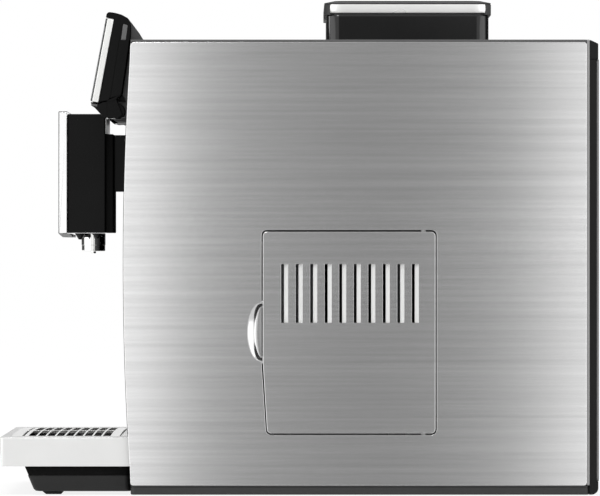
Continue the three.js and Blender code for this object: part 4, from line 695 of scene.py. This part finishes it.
plate_slots = [oblong(front - 0.2, front + 5.8, 128.4, 174.0, 0.5, 0.2, 3) for front in slot_fronts]
door_plate = block(oblong(-15.6, 97.4, 51.0, 192.8, 3.0), 146.2, 149.2, 0.4, side_on, holes=plate_slots)
blade = np.array([(149.2, 5.6), (147.6, 5.6), (146.3, 2.9), (146.3, 2.3), (147.8, 2.3)])
blades = [block(blade + [0, front], 128.3, 174.1, 0) for front in slot_fronts]
pivots = [
    turned(round_edge(1.8, low, high, 0.3), (*DOOR_PIVOT, 0), 20)
    for low, high in ((39.8, 60.0), (184.0, 203.9))
]
door_back = joined(door_plate, *blades, *pivots)
piece("door_back_plate", door_back, "door_inner_plate", "light_grey_plastic", finish="white_plastic")
# Painted shadow: a black rubber strip along the door's front edge, standing for the shadow line in the gap
# there
door_edge_shadow = block(oblong(-28.0, -26.6, 104.0, 140.5, 0.5, 0.05, 3), 146.5, 149.3, 0.2, side_on)
piece("door_edge_painted_shadow", door_edge_shadow, None, "rubber", body=node_body("door_skin"))

# Finger recess: half an ellipse at the panel's face, a slope round it and a flat floor

# Each row has the shares of the ellipse's reach and height that its ring keeps, and the ring's X
recess_rows = [(1.0, 1.0, 149.6), (0.95, 0.985, 149.4), (0.8, 0.955, 148.7), (0.66, 0.93, 147.8)]
recess_rows += [(0.55, 0.91, 147.0), (0.47, 0.895, 146.5), (0.4, 0.885, 146.25), (0.3, 0.87, 146.2)]
recess_rows += [(0.1, 0.85, 146.2)]


def recess_cup():
    """The recess's outline scaled by each row. The same rings, moved out from the cup's middle by 0.06 of
    the outline's distance from it and half a millimetre in, close the cup's outside."""
    flat = [(-19.2, RECESS[1] + RECESS_RISE), (-19.2, RECESS[1] - RECESS_RISE)]
    outline = turned_left(np.concatenate([recess_arc, flat]))
    reach, rise, travel = np.array(recess_rows).T
    inside = np.repeat(outline[None], len(travel), 0)
    inside[..., 0] += np.minimum(inside[..., 0] - RECESS[0], 0) * (reach[:, None] - 1)
    inside[..., 1] = RECESS[1] + (inside[..., 1] - RECESS[1]) * rise[:, None]
    wider = inside + (outline - [-24.0, RECESS[1]]) * 0.06
    return capped(np.concatenate([wider[::-1], inside]), np.r_[travel[::-1] - 0.5, travel], side_on)


piece("finger_recess", recess_cup(), "finger_recess_cup", "light_grey_plastic", 60, finish="recess_lacquer")

# Base, with a groove round it at 5.4 to 5.75, and feet

insets_low, rises_low = rim(0.8)
insets_high, rises_high = rim(0.3)
base_insets = np.r_[insets_low, 0, 0.45, 0.45, 0, insets_high[::-1]]
base_heights = np.r_[0.15 + rises_low, 5.4, 5.4, 5.75, 5.75, 6.8 - rises_high[::-1]]
base = carried(oblong(-150.4, 150.4, CASING_FRONT, 217.8, 3.5), base_insets, base_heights)
piece("base_tray", base, "base_pan", "dark_grey_plastic", finish="base_grey")
for end, y in (("front", -100.4), ("rear", 199)):
    for side, x in (("right", 127), ("left", -127)):
        pad = turned(round_edge(13, 0, 3.2, 0.7), (x, y, 0))
        piece(f"foot_pad_{end}_{side}", pad, f"foot_{end}_{side}", "rubber")

# Rear: the frame's two-tone edge and the moulded panel with its air slots

inlet_hole = oblong(77.4, 126.6, 29.4, 54.6, 0.6)
rear_outline = oblong(-BACK_HALF, BACK_HALF, CASING_BOTTOM, COVER_TOP, 1.2)
frame_sheet = block(rear_outline, CASING_REAR + 0.1, BACK_FACE - 0.02, 0.1, face_on, 0.3, [inlet_hole])
piece("rear_sheet", frame_sheet, "rear_frame", "galvanised_steel", finish="grey_satin")
back_holes = [inlet_hole]
for left in (-120, 30):
    back_holes += [oblong(left, left + 90, low, low + 4.0, 1.7, 0.1) for low in np.arange(90, 200, 9.0)]
back_outline = oblong(-BACK_HALF, BACK_HALF, 5.0, 326.9, 1.0)
back_moulding = block(back_outline, BACK_FACE, 223.3, 0.8, face_on, 0.3, back_holes, 0.2)
top_rail = [(BACK_FACE, 327.0, 0), (BACK_FACE, COVER_TOP, 0.6), (224.5, 338.6, 0.9), (224.5, 327.0, 0)]
low_rail = [(217.9, 0.2, 0), (224.6, 0.2, 5.0), (224.6, 10.0, 0), (217.9, 10.0, 0)]
rails = [bar(top_rail, -BACK_HALF, BACK_HALF, 0.4), bar(low_rail, -150.4, 150.4, 0.4)]
piece("back_cover", joined(back_moulding, *rails), "back_panel", "black_plastic", finish="back_black")
sheet_outline = oblong(-150.4, 150.4, 10.2, 326.8, 3.0)
back_sheet = block(sheet_outline, 223.4, 225.0, 0.35, face_on, None, back_holes, 0.2)
back_body = node_body("back_panel")
piece("back_sheet", back_sheet, None, "galvanised_steel", finish="rear_grey", body=back_body)

# Mains inlet and its rocker switch

plug_hole = oblong(99.5, 123.0, 33.5, 50.5, 3.0)
switch_hole = oblong(80.0, 96.0, 31.8, 52.6, 0.8)
inlet_outline = oblong(78.0, 126.0, 30.0, 54.0, 1.0)
inlet_plate = block(inlet_outline, 198.5, 224.5, 0.5, face_on, 0.3, [plug_hole, switch_hole])
inlet_floor = block(oblong(98.5, 124.0, 32.5, 51.5, 1.0), 198.6, 206.0, 0, face_on)
prongs = [
    block(oblong(x - 2.0, x + 2.0, z - 1.0, z + 1.0, 0.5), 205.0, 219.0, 0.2, face_on, 0)
    for x, z in ((104.2, 40.0), (118.2, 40.0), (111.2, 44.0))
]
piece("inlet_socket", joined(inlet_plate, inlet_floor, *prongs), "mains_inlet", "black_plastic")
rocker = [(214.9, 34.4, 0.6), (214.9, 50.0, 0.6), (220.6, 50.8, 0), (222.6, 50.8, 0), (221.4, 42.2, 5.0)]
rocker += [(221.8, 33.7, 0), (220.6, 33.7, 0)]
piece("switch_rocker", bar(rocker, 80.4, 95.6, 0.3, 0), "power_switch", "gloss_black")

# Front skins that follow the casing's bow, with openings for the drawer and the spout's neck

front_heights = np.unique(np.r_[np.linspace(43.8, 278.7, 36), 112.8, 167.8, 273.0])
front_across = [-149.2, -100.8, -18.8, 18.8, 100.8, 149.2]
front_openings = [(-100.8, 100.8, 0, 112.8), (-18.8, 18.8, 167.8, 273.0)]
front_skin = bowed(front_across, front_heights, 3.0, 0.0, front_openings)
piece("front_skin", front_skin, "front_panel", "gloss_black", bevel=0.6)
drawer_skin = bowed([-100.0, -50, 0, 50, 100.0], np.linspace(43.3, 112.0, 14), 3.0, 0.35)
piece("drawer_skin", drawer_skin, "drawer_front", "silver_trim", bevel=0.8)

# Console: mount, housing, chrome frame, glass, display and hinge pins

mount_skin = bowed([-149.2, -75, 0, 75, 149.2], np.linspace(279.0, CASING_TOP, 12), 3.0)
wedge = [(-118.1, 279.0, 0), (-130.5, 279.0, 0.8), (-130.5, 297.0, 1.0), (-133.0, 300.8, 1.0)]
wedge += [(-126.9, 340.5, 0), (-126.5, 355.4, 0), (-118.1, 341.6, 0.5)]
lug = [(-126.0, 283.6, 0), (-143.0, 283.6, 1.0), (-143.0, 290.5, 1.5), (-141.0, 294.0, 1.5)]
lug += [(-137.6, 295.9, 0.8), (-126.0, 295.9, 0)]
lug = bar(lug, 112.2, 125.2, 0.6, 0.1)
barrel = [(-126.0, 281.9, 0), (-140.2, 281.9, 2.4), (-143.9, 285.2, 2.4), (-143.9, 290.6, 2.0)]
barrel += [(-140.6, 293.8, 2.0), (-126.0, 293.8, 0)]
mount_bars = [bar(wedge, -128, 128, 0.25, 0.1), lug, mirrored(lug), bar(barrel, -62.0, 62.0, 0.4, 0.1)]
piece("console_bracket", joined(mount_skin, *mount_bars), "console_mount", "dark_grey_plastic")
# Painted shadow: a black rubber strip across the mount at 296 to 300 mm up, standing for the shadow band
# there
shadow_band = [(-126.5, 296.1, 0), (-137.3, 296.1, 0), (-133.4, 300.3, 0), (-126.5, 300.3, 0)]
mount_body = node_body("console_mount")
piece("mount_painted_shadow", bar(shadow_band, -127.5, 127.5, 0.0), None, "rubber", body=mount_body)


def on_face(up, depth, radius=0.0):
    """A corner (y, z, radius) from its way up the console's face and its depth behind it."""
    _, ahead, height = console_on(0, up, depth)
    return ahead, height, radius


shell = [(-156.5, 293.2, 0.7), on_face(-0.3, 0.6), on_face(-0.3, 6.3), on_face(64.4, 6.3)]
shell += [on_face(64.4, -0.1), on_face(67.2, 0.0, 1.6), (-143.2, 362.9, 2.2), (-138.4, 362.3, 9.0)]
shell += [(-133.5, 360.9, 7.0), (-128.6, 358.2, 2.0), (-127.0, 355.0, 1.0), (-127.6, 340.5, 9.0)]
shell += [(-133.7, 300.8, 3.0), (-139.7, 295.6, 1.0)]
cheek = [(-156.6, 293.6, 0.8), (-149.4, 286.4, 6.0), (-143.6, 282.7, 3.0), (-136.0, 282.9, 2.4)]
cheek += [(-132.6, 285.4, 1.2), (-138.6, 300.0, 0), (-150.0, 300.0, 0)]
lobe = [(-156.3, 293.6, 0.8), (-149.0, 285.6, 4.0), (-145.4, 282.6, 0.6), (-144.4, 283.4, 0)]
lobe += [(-144.4, 297.0, 0), (-152.0, 297.0, 0)]
eye = [(-147.0, 283.6, 0), (-137.0, 282.9, 3.0), (-131.6, 285.0, 2.6), (-131.6, 291.0, 2.6)]
eye += [(-137.0, 293.1, 3.0), (-143.0, 293.2, 1.0), (-143.0, 297.0, 0), (-147.0, 297.0, 0)]
flank = [on_face(0.5, 6.5, 0.5), on_face(64.0, 6.5, 0.5), (-136.6, 360.2, 3.0), (-132.9, 357.2, 3.0)]
flank += [(-133.2, 353.6, 2.0), (-141.6, 300.2, 2.0), (-143.4, 296.2, 1.0)]
console_ends = joined(
    bar(lobe, 98.0, CONSOLE_HALF, 0.3),
    bar(cheek, 128.7, 134.4, 0.5),
    bar(eye, 98.0, 111.4, 0.6, 0),
    bar(flank, 133.5, 135.0, 0.5),
)
shell = bar(shell, -CONSOLE_HALF, CONSOLE_HALF, 0.35)
console_body = joined(shell, console_ends, mirrored(console_ends))
piece("console_shell", console_body, "console_housing", "gloss_black", 28)
# Painted highlight: a grey strip at the top of each cheek's rear, where the gloss black corner only mirrors
# light
console_highlight = [(-132.3, 353.9, 0.6), (-128.9, 352.9, 0.6), (-130.4, 341.8, 0.3), (-133.9, 341.8, 0.3)]
console_highlight = bar(console_highlight, 133.5, 134.9, 0.3)
console_highlights = joined(console_highlight, mirrored(console_highlight))
console_of = node_body("console_housing")
piece("console_painted_highlights", console_highlights, None, "dark_grey_plastic", finish="painted_highlight_grey", body=console_of)

bezel_outline = oblong(-135.0, 135.0, 0.0, FACE_LENGTH, 1.2)
bezel_window = oblong(-111.0, 111.0, 9.0, FACE_LENGTH - 9.0, 2.0)
bezel = block(bezel_outline, 1.5, 6.1, 0.7, console_on, 0.4, [bezel_window])
piece("console_frame", bezel, "console_bezel", "chrome_trim")
# Painted highlight: a grey strip under the face's foot, standing for the light that the console's lower lip
# catches
foot_highlight = block(oblong(-134.9, 134.9, -3.0, -1.3, 0.5), 1.2, 5.8, 0.3, console_on)
piece("console_foot_painted_highlight", foot_highlight, None, "dark_grey_plastic", finish="painted_highlight_grey", body=console_of)
pane = block(oblong(-134.5, 134.5, 0.5, FACE_LENGTH - 0.5, 1.0), 0, 1.2, 0.3, console_on)
piece("console_pane", pane, "console_glass", "console_glass")
screen = block(oblong(-109.0, 109.0, 11.0, FACE_LENGTH - 11.0, 1.0), 2.7, 6.1, 0.3, console_on)
piece("console_screen", screen, "console_display", "display")
pin = np.concatenate([round_edge(3.0, 98.0, 125.5, 0.3)[:-2], round_edge(5.8, 125.5, 127.9, 0.6, 0.2)])
both_sides("pivot_pin", turned(pin, (0, *CONSOLE_HINGE), lay=side_on), "hinge_pin", "gloss_black")

# Spout: front plate, housing, neck with its carriage, chrome sleeve and nozzles

plate = [(-183.9, SPOUT_HEAD, 0), (-183.9, SPOUT_FOOT, 0.4), (-177.8, SPOUT_FOOT, 0), (-177.8, SPOUT_HEAD, 0)]
spout_plate = bar(plate, -44.5, 44.5, 0.4, 0.2)
piece("spout_plate", spout_plate, "spout_front_plate", "silver_trim", finish="spout_face")
# Painted shade: the silver plate's thin front and top edges and its chamfered lip, coloured mid grey for the
# shade on them
face = [(-184.4, SPOUT_FOOT, 0), (-184.4, 290.0, 0.8), (-177.8, 290.0, 0.2), (-177.8, SPOUT_HEAD, 0)]
face += [(-183.9, SPOUT_HEAD, 0.3), (-183.9, SPOUT_FOOT, 0)]
lip = [(-184.4, 196.3, 0), (-181.0, 193.5, 0.5), (-174.0, 193.4, 0.5), (-174.0, 195.2, 0.5)]
lip += [(-177.0, 196.3, 0)]
lip = joined(bar(face, -SPOUT_HALF, SPOUT_HALF, 0.1), bar(lip, -SPOUT_HALF, SPOUT_HALF, 0.3, 0.1))
spout = node_body("spout_housing")
piece("spout_lip_painted_shade", lip, None, "silver_trim", finish="grey_satin", body=spout)
front_box = block(oblong(-42, 42, -177.5, -148.3, 0.8), 196.9, 288.0, 0.5)
piece("spout_body", front_box, "spout_housing", "gloss_black")
rear_box = block(oblong(-39.5, 39.5, -149.0, -142.5, 0.8), 196.9, 272.6, 0.5)
piece("spout_back", rear_box, None, "gloss_black", finish="matt_black", body=spout)
# Painted highlight: a silver strip on the black housing's rounded rear edge, standing for the light that edge
# catches
corner_highlight = block(oblong(-41.4, 41.4, -149.2, -147.3, 0.6), 272.9, 287.2, 0.3)
piece("spout_corner_painted_highlight", corner_highlight, None, "silver_trim", body=spout)
neck = block(oblong(-18, 18, -144.0, -124.0, 1.0), 228.6, 272.2, 0.6)
carriage = block(oblong(-33, 33, -125.0, -115.0, 1.0), 228.6, 272.2, 0.6)
piece("spout_arm", joined(neck, carriage), "spout_neck", "gloss_black")
sleeve = [(1.2, 181.0), (1.75, 181.15), (1.95, 181.5), (1.95, 182.6), (8.3, 182.7), (8.9, 182.95)]
sleeve += [(9.1, 183.5), (9.1, 183.7), (9.1, 187.2), (9.1, 187.4), (9.35, 187.6), (9.35, 187.8)]
sleeve += [(9.35, 196.1), (9.35, 196.3), (9.1, 196.6)]
piece("outlet_sleeve", turned(sleeve, (0, -158.9, 0), 64), "centre_sleeve", "sleeve_chrome")


def nozzle(low, y):
    """A tapered nozzle with its bore: one profile from the root down the outside and up the bore."""
    bore = [(0.8, low), (0.7, low + 0.2), (0.7, low + 3)]
    return turned([(3.9, 196.6), (3.9, 196.2), (1.4, low + 0.5), (1.1, low), *bore], (17, y, 0), 28)


both_sides("coffee_outlet", nozzle(191.8, -168.7), "coffee_nozzle", "black_plastic")
both_sides("milk_outlet", nozzle(192.6, -155.6), "milk_nozzle", "black_plastic")

# Drip tray drawer: silver cover, slotted grille, black basin, rubber foot and grounds box

grille_opening = oblong(-121.8, 121.8, -217.8, -135.2, 2.0)
tray_corners = [(-145, TRAY_FRONT), (145, TRAY_FRONT), (145, -112), (-145, -112)]
tray_outline = eased(tray_corners, [3.0, 3.0, 1.6, 1.6])
tray_points, tray_faces = hood(tray_outline, 21.2, TRAY_TOP, 2.5, 0.5, grille_opening, 0.3)
chamfer = np.clip(23.2 - tray_points[:, 2], 0, 2.0)
tray_points[:, 1] = np.maximum(tray_points[:, 1], TRAY_FRONT + chamfer)
ledge_hole = oblong(-118.0, 118.0, -214.0, -139.0, 1.5)
ledge = block(grille_opening, 38.6, 40.6, 0.2, holes=[ledge_hole])
piece("tray_shell", joined((tray_points, tray_faces), ledge), "tray_cover", "silver_trim")

RIB_HALF = 3.4
SLOT_END = 112.0
GRILLE_PITCH = 7.05
GRILLE_SLOT = 5.75


def grille_bars():
    """A sheet on a grid of X and Y with the cells in the slots left out. Its lower skin is the upper one
    moved down, and borders join the two. A narrow slot lies in front, then nine at an even pitch."""
    half = np.linspace(RIB_HALF, SLOT_END, 9)
    across = np.unique(np.r_[-121.4, -half, half, 121.4])
    fronts = np.r_[-209.4, -204.7 + GRILLE_PITCH * np.arange(9)]
    rears = fronts + np.r_[1.8, np.full(9, GRILLE_SLOT)]
    along = np.r_[-217.4, np.stack([fronts, rears], 1).ravel(), -135.6]
    x, y = np.meshgrid(across, along)
    points = np.stack([x, y, np.full(x.shape, TRAY_TOP)], -1).reshape(-1, 3)
    middle_x = np.abs(across[1:] + across[:-1]) / 2
    solid = np.ones((len(along) - 1, len(across) - 1), bool)
    solid[1::2] = (middle_x < RIB_HALF) | (middle_x > SLOT_END)
    return shell_of(points, solid, len(across), [0, 0, -0.5])


grille = crowned(grille_bars(), -121, 121, 1.2)
piece("slotted_grille", grille, "drip_grille", "grille_steel", bevel=0.12)

basin_rows = [
    # Up the outside, where the front slopes in towards the foot
    (135.6, -195.9, -127.2, 4.0, 2.4),
    (136.6, -197.6, -127.2, 4.0, 2.7),
    (137.6, -199.0, -127.2, 4.0, 3.9),
    (138.0, -199.8, -127.2, 4.0, 5.4),
    (138.0, -206.3, -127.2, 4.0, 20.6),
    (138.0, -206.5, -127.2, 4.0, 21.5),
    (142.2, -222.2, -127.2, 4.0, 21.9),
    (142.2, -222.2, -127.2, 4.0, 34.6),
    (141.8, -221.8, -127.6, 4.0, 35.2),
    # Down the inside
    (140.2, -220.2, -129.2, 3.0, 35.0),
    (140.0, -220.0, -129.4, 3.0, 24.0),
    (136.0, -204.4, -129.4, 3.0, 23.6),
    (136.0, -198.4, -129.4, 3.0, 5.4),
    (134.6, -196.8, -130.4, 3.0, 4.4),
]
shallow = tub(-101.0, 49.0, -128.0, 48.0, 3.0, 7.6, 21.0, 2.0)
basin = joined(stack(basin_rows), shallow)
piece("drip_basin", basin, "tray_basin", "black_plastic", 28, finish="matt_black")
skirt_rows = [(136.2, -196.4, -127.0, 4.0, 2.3), (137.2, -198.2, -127.0, 4.0, 2.6)]
skirt_rows += [(138.0, -199.6, -127.0, 4.0, 3.9), (138.4, -200.3, -127.0, 4.0, 5.4)]
skirt_rows += [(138.4, -203.9, -127.0, 4.0, 13.9), (138.1, -203.8, -127.2, 4.0, 14.3)]
skirt_rows += [(137.2, -202.6, -128.2, 3.4, 14.3), (137.2, -198.6, -128.2, 3.4, 5.0)]
skirt_rows += [(136.0, -196.6, -128.4, 3.4, 3.2)]
piece("basin_skirt", stack(skirt_rows), None, "black_plastic", 28, body=node_body("tray_basin"))
foot = [(-193.0, 2.1, 0), (-190.3, 0.0, 0.6), (-179.1, 0.0, 0.6), (-177.0, 2.1, 0)]
piece("tray_pad", bar(foot, -134, 134, 0.3, 0.1), "tray_foot", "rubber")
grounds = tub(-98.2, 46.2, -112.0, 45.2, 5.0, 9.9, 107.9, 2.0)
piece("grounds_box", grounds, "grounds_container", "black_plastic")

# Top: cover, bean bin, bright rim, lid

cover_points = [(-150.6, CASING_FRONT), (150.6, CASING_FRONT), (150.6, CASING_REAR), (74.4, CASING_REAR)]
cover_points += [(74.4, 149.7), (-95.4, 149.7), (-95.4, CASING_REAR), (-150.6, CASING_REAR)]
cover_outline = eased(cover_points, [2.2, 2.2, 0.9, 0.9, 2.4, 2.4, 0.9, 0.9])
bin_hole = oblong(-95.9, 95.9, 20.1, 144.9, 9.9)
cover_plate = block(cover_outline, 339.95, COVER_TOP, 0.25, low_edge=0.1, holes=[bin_hole])
cover_skirt = block(oblong(-146.2, -144.7, -116.0, 214.5, 0.4, 0.1), 331.8, 340.3, 0.2)
cover = joined(cover_plate, cover_skirt, mirrored(cover_skirt))
piece("cover_sheet", cover, "top_cover", "dark_grey_plastic", finish="cover_grey")

# The bin's outside up to its rim and down its inside, as insets and heights, then the round outlet
bin_steps = [(1.2, 292.0), (0, 293.2), (0, 361.1), (0.4, 361.9), (1.8, 361.9), (2.2, 361.1), (2.2, 303.0)]
bin_rows = [(95.0 - step, 21.0 + step, 144.0 - step, 9.0 - step, height) for step, height in bin_steps]
bin_rows += [(16.0, 66.0, 98.0, 15.5, 294.4)]
piece("bean_bin", stack(bin_rows), "hopper_bin", "gloss_black", 28, finish="bin_black")

# The rim's section is a closed loop of insets and heights, carried round the lid
rim_insets = [4.0, 3.7, 0.9, 0.35, 0.06, 0.0, 0.06, 0.35, 0.9, 3.7, 4.0]
rim_heights = [363.9, 363.5, 363.5, 363.8, 365.2, 366.9, 368.6, 370.0, 370.3, 370.3, 369.9]
rim_rings = inset(oblong(-96.8, 96.8, 19.2, 145.8, 12.4, 0.3, 9), rim_insets)
ring = np.arange(rim_rings.shape[1])
rim_faces = skin(rim_rings) + bridge(ring + (len(rim_insets) - 1) * len(ring), ring)
piece("lid_band", (placed(rim_rings, rim_heights, level), rim_faces), "lid_rim", "chrome_trim", 40)
outer, inner = inset(oblong(-96.8, 96.8, 19.1, 145.9, 12.4, 0.3, 9), [0.0, 3.0])
# Painted reflection: dark grey blocks over the chrome rim's two rounded ends, standing for the dark they
# mirror
rim_ends = [
    block(np.concatenate([outer[chosen], inner[chosen][::-1]]), 362.2, 370.2, 0.0)
    for chosen in (outer[:, 1] < 24.2, outer[:, 1] > 140.8)
]
rim_body = node_body("lid_rim")
piece("lid_band_painted_dark_ends", joined(*rim_ends), None, "chrome_trim", 40, finish="rim_painted_dark_reflection", body=rim_body)
lid_rows = [(91.6, 24.4, 140.6, 6.0, 357.0), (92.2, 23.8, 141.2, 6.4, 357.6)]
lid_rows += [(92.2, 23.8, 141.2, 6.4, 370.6), (96.3, 19.7, 145.3, 12.0, 370.6)]
lid_rows += [(96.8, 19.2, 145.8, 12.4, 370.9), (96.6, 19.4, 145.6, 12.2, 371.35)]
lid_rows += [(89.2, 26.8, 138.2, 8.0, 372.95), (88.4, 27.6, 137.4, 7.6, 373.0)]
piece("bean_lid", stack(lid_rows, 9), "hopper_lid", "dark_grey_plastic", 12, finish="cover_grey")

# Water tank and its lid

tank = tub(-93.0, 72.0, 152.0, 211.5, 6.0, 100.0, 339.3, 2.2)
spigot = [(8.0, 100.4), (8.0, 91.6), (7.6, 91.0), (4.2, 91.0), (4.0, 91.4), (4.0, 100.2)]
piece("tank_shell", joined(tank, turned(spigot, (-10.5, 181.75, 0))), "water_tank", "clear_tank")
lid_top = block(oblong(-94.5, 73.5, 150.5, 213.0, 1.6), 339.6, COVER_TOP, 0.5)
lid_lip = block(oblong(-90.0, 69.0, 155.9, 201.2, 4.0), 335.3, 339.8, 0.4)
lid_grip = block(oblong(-26.5, 5.5, 154.0, 160.0, 2.5), 341.0, COVER_TOP, 0.3)
piece("tank_cap", joined(lid_top, lid_lip, lid_grip), "tank_lid", "dark_grey_plastic")

# Grind adjuster's knob

knob = [(3.0, 263.5), (7.0, 263.6), (7.2, 264.0), (7.2, 273.2), (7.0, 273.5), (4.0, 273.6), (4.0, 299.8)]
knob += [(13.2, 300.5), (13.6, 301.0), (13.6, 311.6), (13.0, 312.4), (8.0, 312.5), (7.4, 318.0)]
knob += [(6.6, 318.5)]
grip_knob = turned(knob, (-45, 82, 0), 96, grip=24, grip_depth=0.35)
piece("grind_knob", grip_knob, "grind_adjuster", "black_plastic")

# CAD nodes that stay, each with its own finish

INSIDE = {
    "black_plastic": "right_chassis_wall left_chassis_wall coffee_chute brew_cylinder brew_piston "
    "brew_drive tank_seat",
    "galvanised_steel": "chassis_deck spout_rail brew_frame pump grinder_motor",
    "cast_alloy": "grinder_housing heater_block",
    "hard_steel": "lower_burr upper_burr",
    "circuit_board": "control_board",
}
for slot, names in INSIDE.items():
    for name in names.split():
        frame["nodes"][name].data.materials.clear()
        frame["nodes"][name].data.materials.append(FINISHES[slot])

# Floor, cards, lamps, world and camera


def staged(name, corners, material, seen=True):
    """A stage object with four corners. One that isn't seen shows in glossy surfaces only."""
    mesh = bpy.data.meshes.new(name)
    mesh.from_pydata((np.array(corners) * 0.001).tolist(), [], [[0, 1, 2, 3]])
    mesh.materials.append(material)
    made = bpy.data.objects.new(name, mesh)
    bpy.context.scene.collection.objects.link(made)
    if not seen:
        made.visible_camera = False
        made.visible_diffuse = False
        made.visible_transmission = False
        made.visible_shadow = False
    return made


def upright(near, far, low, high):
    """The corners of an upright rectangle over the line between two places (x, y), from low to high."""
    return [(*near, low), (*far, low), (*far, high), (*near, high)]


def floor_material():
    """Pale paper sweep: white to the camera, with a part of the object's soft shadow kept."""
    material, tree, place = start("floor_paper")
    fibre = add(tree, "TexNoise", {"Vector": place, "Scale": 400.0, "Detail": 2.0})
    shades = pair("#F4F4F4 #F8F8F8")
    tint = add(tree, "Mix", {0: fibre.outputs[0], 6: shades[0], 7: shades[1]}, data_type="RGBA")
    paper = add(tree, "BsdfDiffuse", {"Color": tint.outputs[2]})
    glow = add(tree, "Emission", {"Color": linear("#FFFFFF"), "Strength": 1.06})
    path = add(tree, "LightPath")
    share = add(tree, "Math", {0: path.outputs["Is Camera Ray"], 1: 0.8}, operation="MULTIPLY")
    both = add(tree, "MixShader", {0: share.outputs[0], 1: paper.outputs[0], 2: glow.outputs[0]})
    add(tree, "OutputMaterial", {"Surface": both.outputs[0]})
    return material


CARD_FRONT = -0.6
CARD_REAR = 0.9


def card_material(name, stops):
    """A card whose glow follows a ramp along Y over the card's length in metres: the studio's dark gap
    behind the camera, which gives the brushed steel its dark middle and bright ends. It glows most at
    0.2 m up and less with the distance from there, up to 0.7 m."""
    material, tree, place = start(name)
    parts = add(tree, "SeparateXYZ", {0: place})
    share = add(tree, "MapRange", {0: parts.outputs[1], 1: CARD_FRONT, 2: CARD_REAR})
    ramp = add(tree, "ValToRGB", {0: share.outputs[0]})
    elements = ramp.color_ramp.elements
    for (position, value), element in zip((stops[0], stops[-1]), (elements[0], elements[1])):
        element.position = position
        element.color = (value, value, value, 1)
    for position, value in stops[1:-1]:
        element = elements.new(position)
        element.color = (value, value, value, 1)
    above = add(tree, "Math", {0: parts.outputs[2], 1: 0.2}, operation="SUBTRACT")
    away = add(tree, "Math", {0: above.outputs[0]}, operation="ABSOLUTE")
    strength = add(tree, "MapRange", {0: away.outputs[0], 1: 0.0, 2: 0.7, 3: 1.3, 4: 0.88})
    glow = add(tree, "Emission", {"Color": ramp.outputs[0], "Strength": strength.outputs[0]})
    add(tree, "OutputMaterial", {"Surface": glow.outputs[0]})
    return material


def flat_glow(name, strength):
    """A card that glows nearly evenly: black velvet at a low strength, a softbox's cloth at a high one.
    The cloth's tone varies slightly over about 0.3 m."""
    material, tree, place = start(name)
    weave = add(tree, "TexNoise", {"Vector": place, "Scale": 3.0})
    shades = pair("#FAFAFA #FFFFFF")
    tint = add(tree, "Mix", {0: weave.outputs[0], 6: shades[0], 7: shades[1]}, data_type="RGBA")
    glow = add(tree, "Emission", {"Color": tint.outputs[2], "Strength": strength})
    add(tree, "OutputMaterial", {"Surface": glow.outputs[0]})
    return material


wide = 60000.0
floor_corners = [(-wide, -wide, -0.4), (wide, -wide, -0.4), (wide, wide, -0.4), (-wide, wide, -0.4)]
floor = staged("floor", floor_corners, floor_material())
floor.visible_glossy = False  # the card and the white world go on below it for shiny surfaces

card_stops = [(0.0, 1.1), (0.215, 1.05), (0.24, 0.85), (0.268, 0.46), (0.29, 0.36), (0.34, 0.32)]
card_stops += [(0.4, 0.29), (0.46, 0.255), (0.51, 0.255), (0.56, 0.29), (0.61, 0.34), (0.64, 0.38)]
card_stops += [(0.668, 0.62), (0.69, 0.85), (0.72, 1.0)]
card = upright((5600, CARD_FRONT * 1000), (5600, CARD_REAR * 1000), -3200, 3600)
staged("dark_card", card, card_material("dark_card", card_stops), False)

# Velvet flags behind the machine, as the camera sees it, darken what its tops mirror at a glancing angle
black_flag = upright((-1200, -8000), (-1200, 8000), 350, 4000)
staged("black_flag", black_flag, flat_glow("black_flag", 0.07), False)
low_flag = upright((-1200, -8000), (-1200, -700), 120, 350)
staged("low_flag", low_flag, flat_glow("low_flag", 0.07), False)

# A softbox on each side of the camera gives rounded corners and the chrome sleeve their bright lines
for side, sign in (("front", -1), ("rear", 1)):
    softbox = upright((4300, sign * 2700), (300, sign * 4200), -500, 2600)
    staged("softbox_" + side, softbox, flat_glow("softbox_" + side, 2.2), False)


def lamp(name, place, aim, size, power):
    """An area lamp at a place in metres, turned to face its aim, with its side in metres and its power
    in watts."""
    data = bpy.data.lights.new(name, "AREA")
    data.shape = "SQUARE"
    data.size = size
    data.energy = power
    made = bpy.data.objects.new(name, data)
    made.location = place
    made.rotation_euler = (Vector(aim) - Vector(place)).to_track_quat("-Z", "Y").to_euler()
    bpy.context.scene.collection.objects.link(made)


lamp("key_lamp", (2.4, -0.6, 2.6), (0, 0.05, 0.15), 0.9, 28.0)
lamp("front_lamp", (-0.8, -3.0, 1.8), (0, 0, 0.2), 1.2, 16.0)

# The world is full white to the camera and to metal and glass, and a little less to the rest

world = bpy.data.worlds.new("studio")
world.use_nodes = True
sky = world.node_tree
sky.nodes.clear()
rays = add(sky, "LightPath").outputs
seen = add(sky, "Math", {0: rays["Is Camera Ray"], 1: rays["Is Glossy Ray"]}, operation="MAXIMUM")
seen = add(sky, "Math", {0: seen.outputs[0], 1: rays["Is Transmission Ray"]}, operation="MAXIMUM")
strength = add(sky, "MapRange", {0: seen.outputs[0], 3: 0.82, 4: 1.0})
white = add(sky, "Background", {"Color": linear("#FFFFFF"), "Strength": strength.outputs[0]})
add(sky, "OutputWorld", {"Surface": white.outputs[0]})
bpy.context.scene.world = world

# The camera is level and square to the right side, 4.9 m from it

camera_data = bpy.data.cameras.new("camera")
camera_data.sensor_width = 36.0
camera_data.lens = 392.0
camera_data.clip_start = 0.1
camera_data.clip_end = 200.0
camera = bpy.data.objects.new("camera", camera_data)
camera.location = (5.051, 0.00075, 0.18525)
camera.rotation_euler = (np.pi / 2, 0, np.pi / 2)
bpy.context.scene.collection.objects.link(camera)
bpy.context.scene.camera = camera
bpy.context.scene.view_settings.view_transform = "Standard"
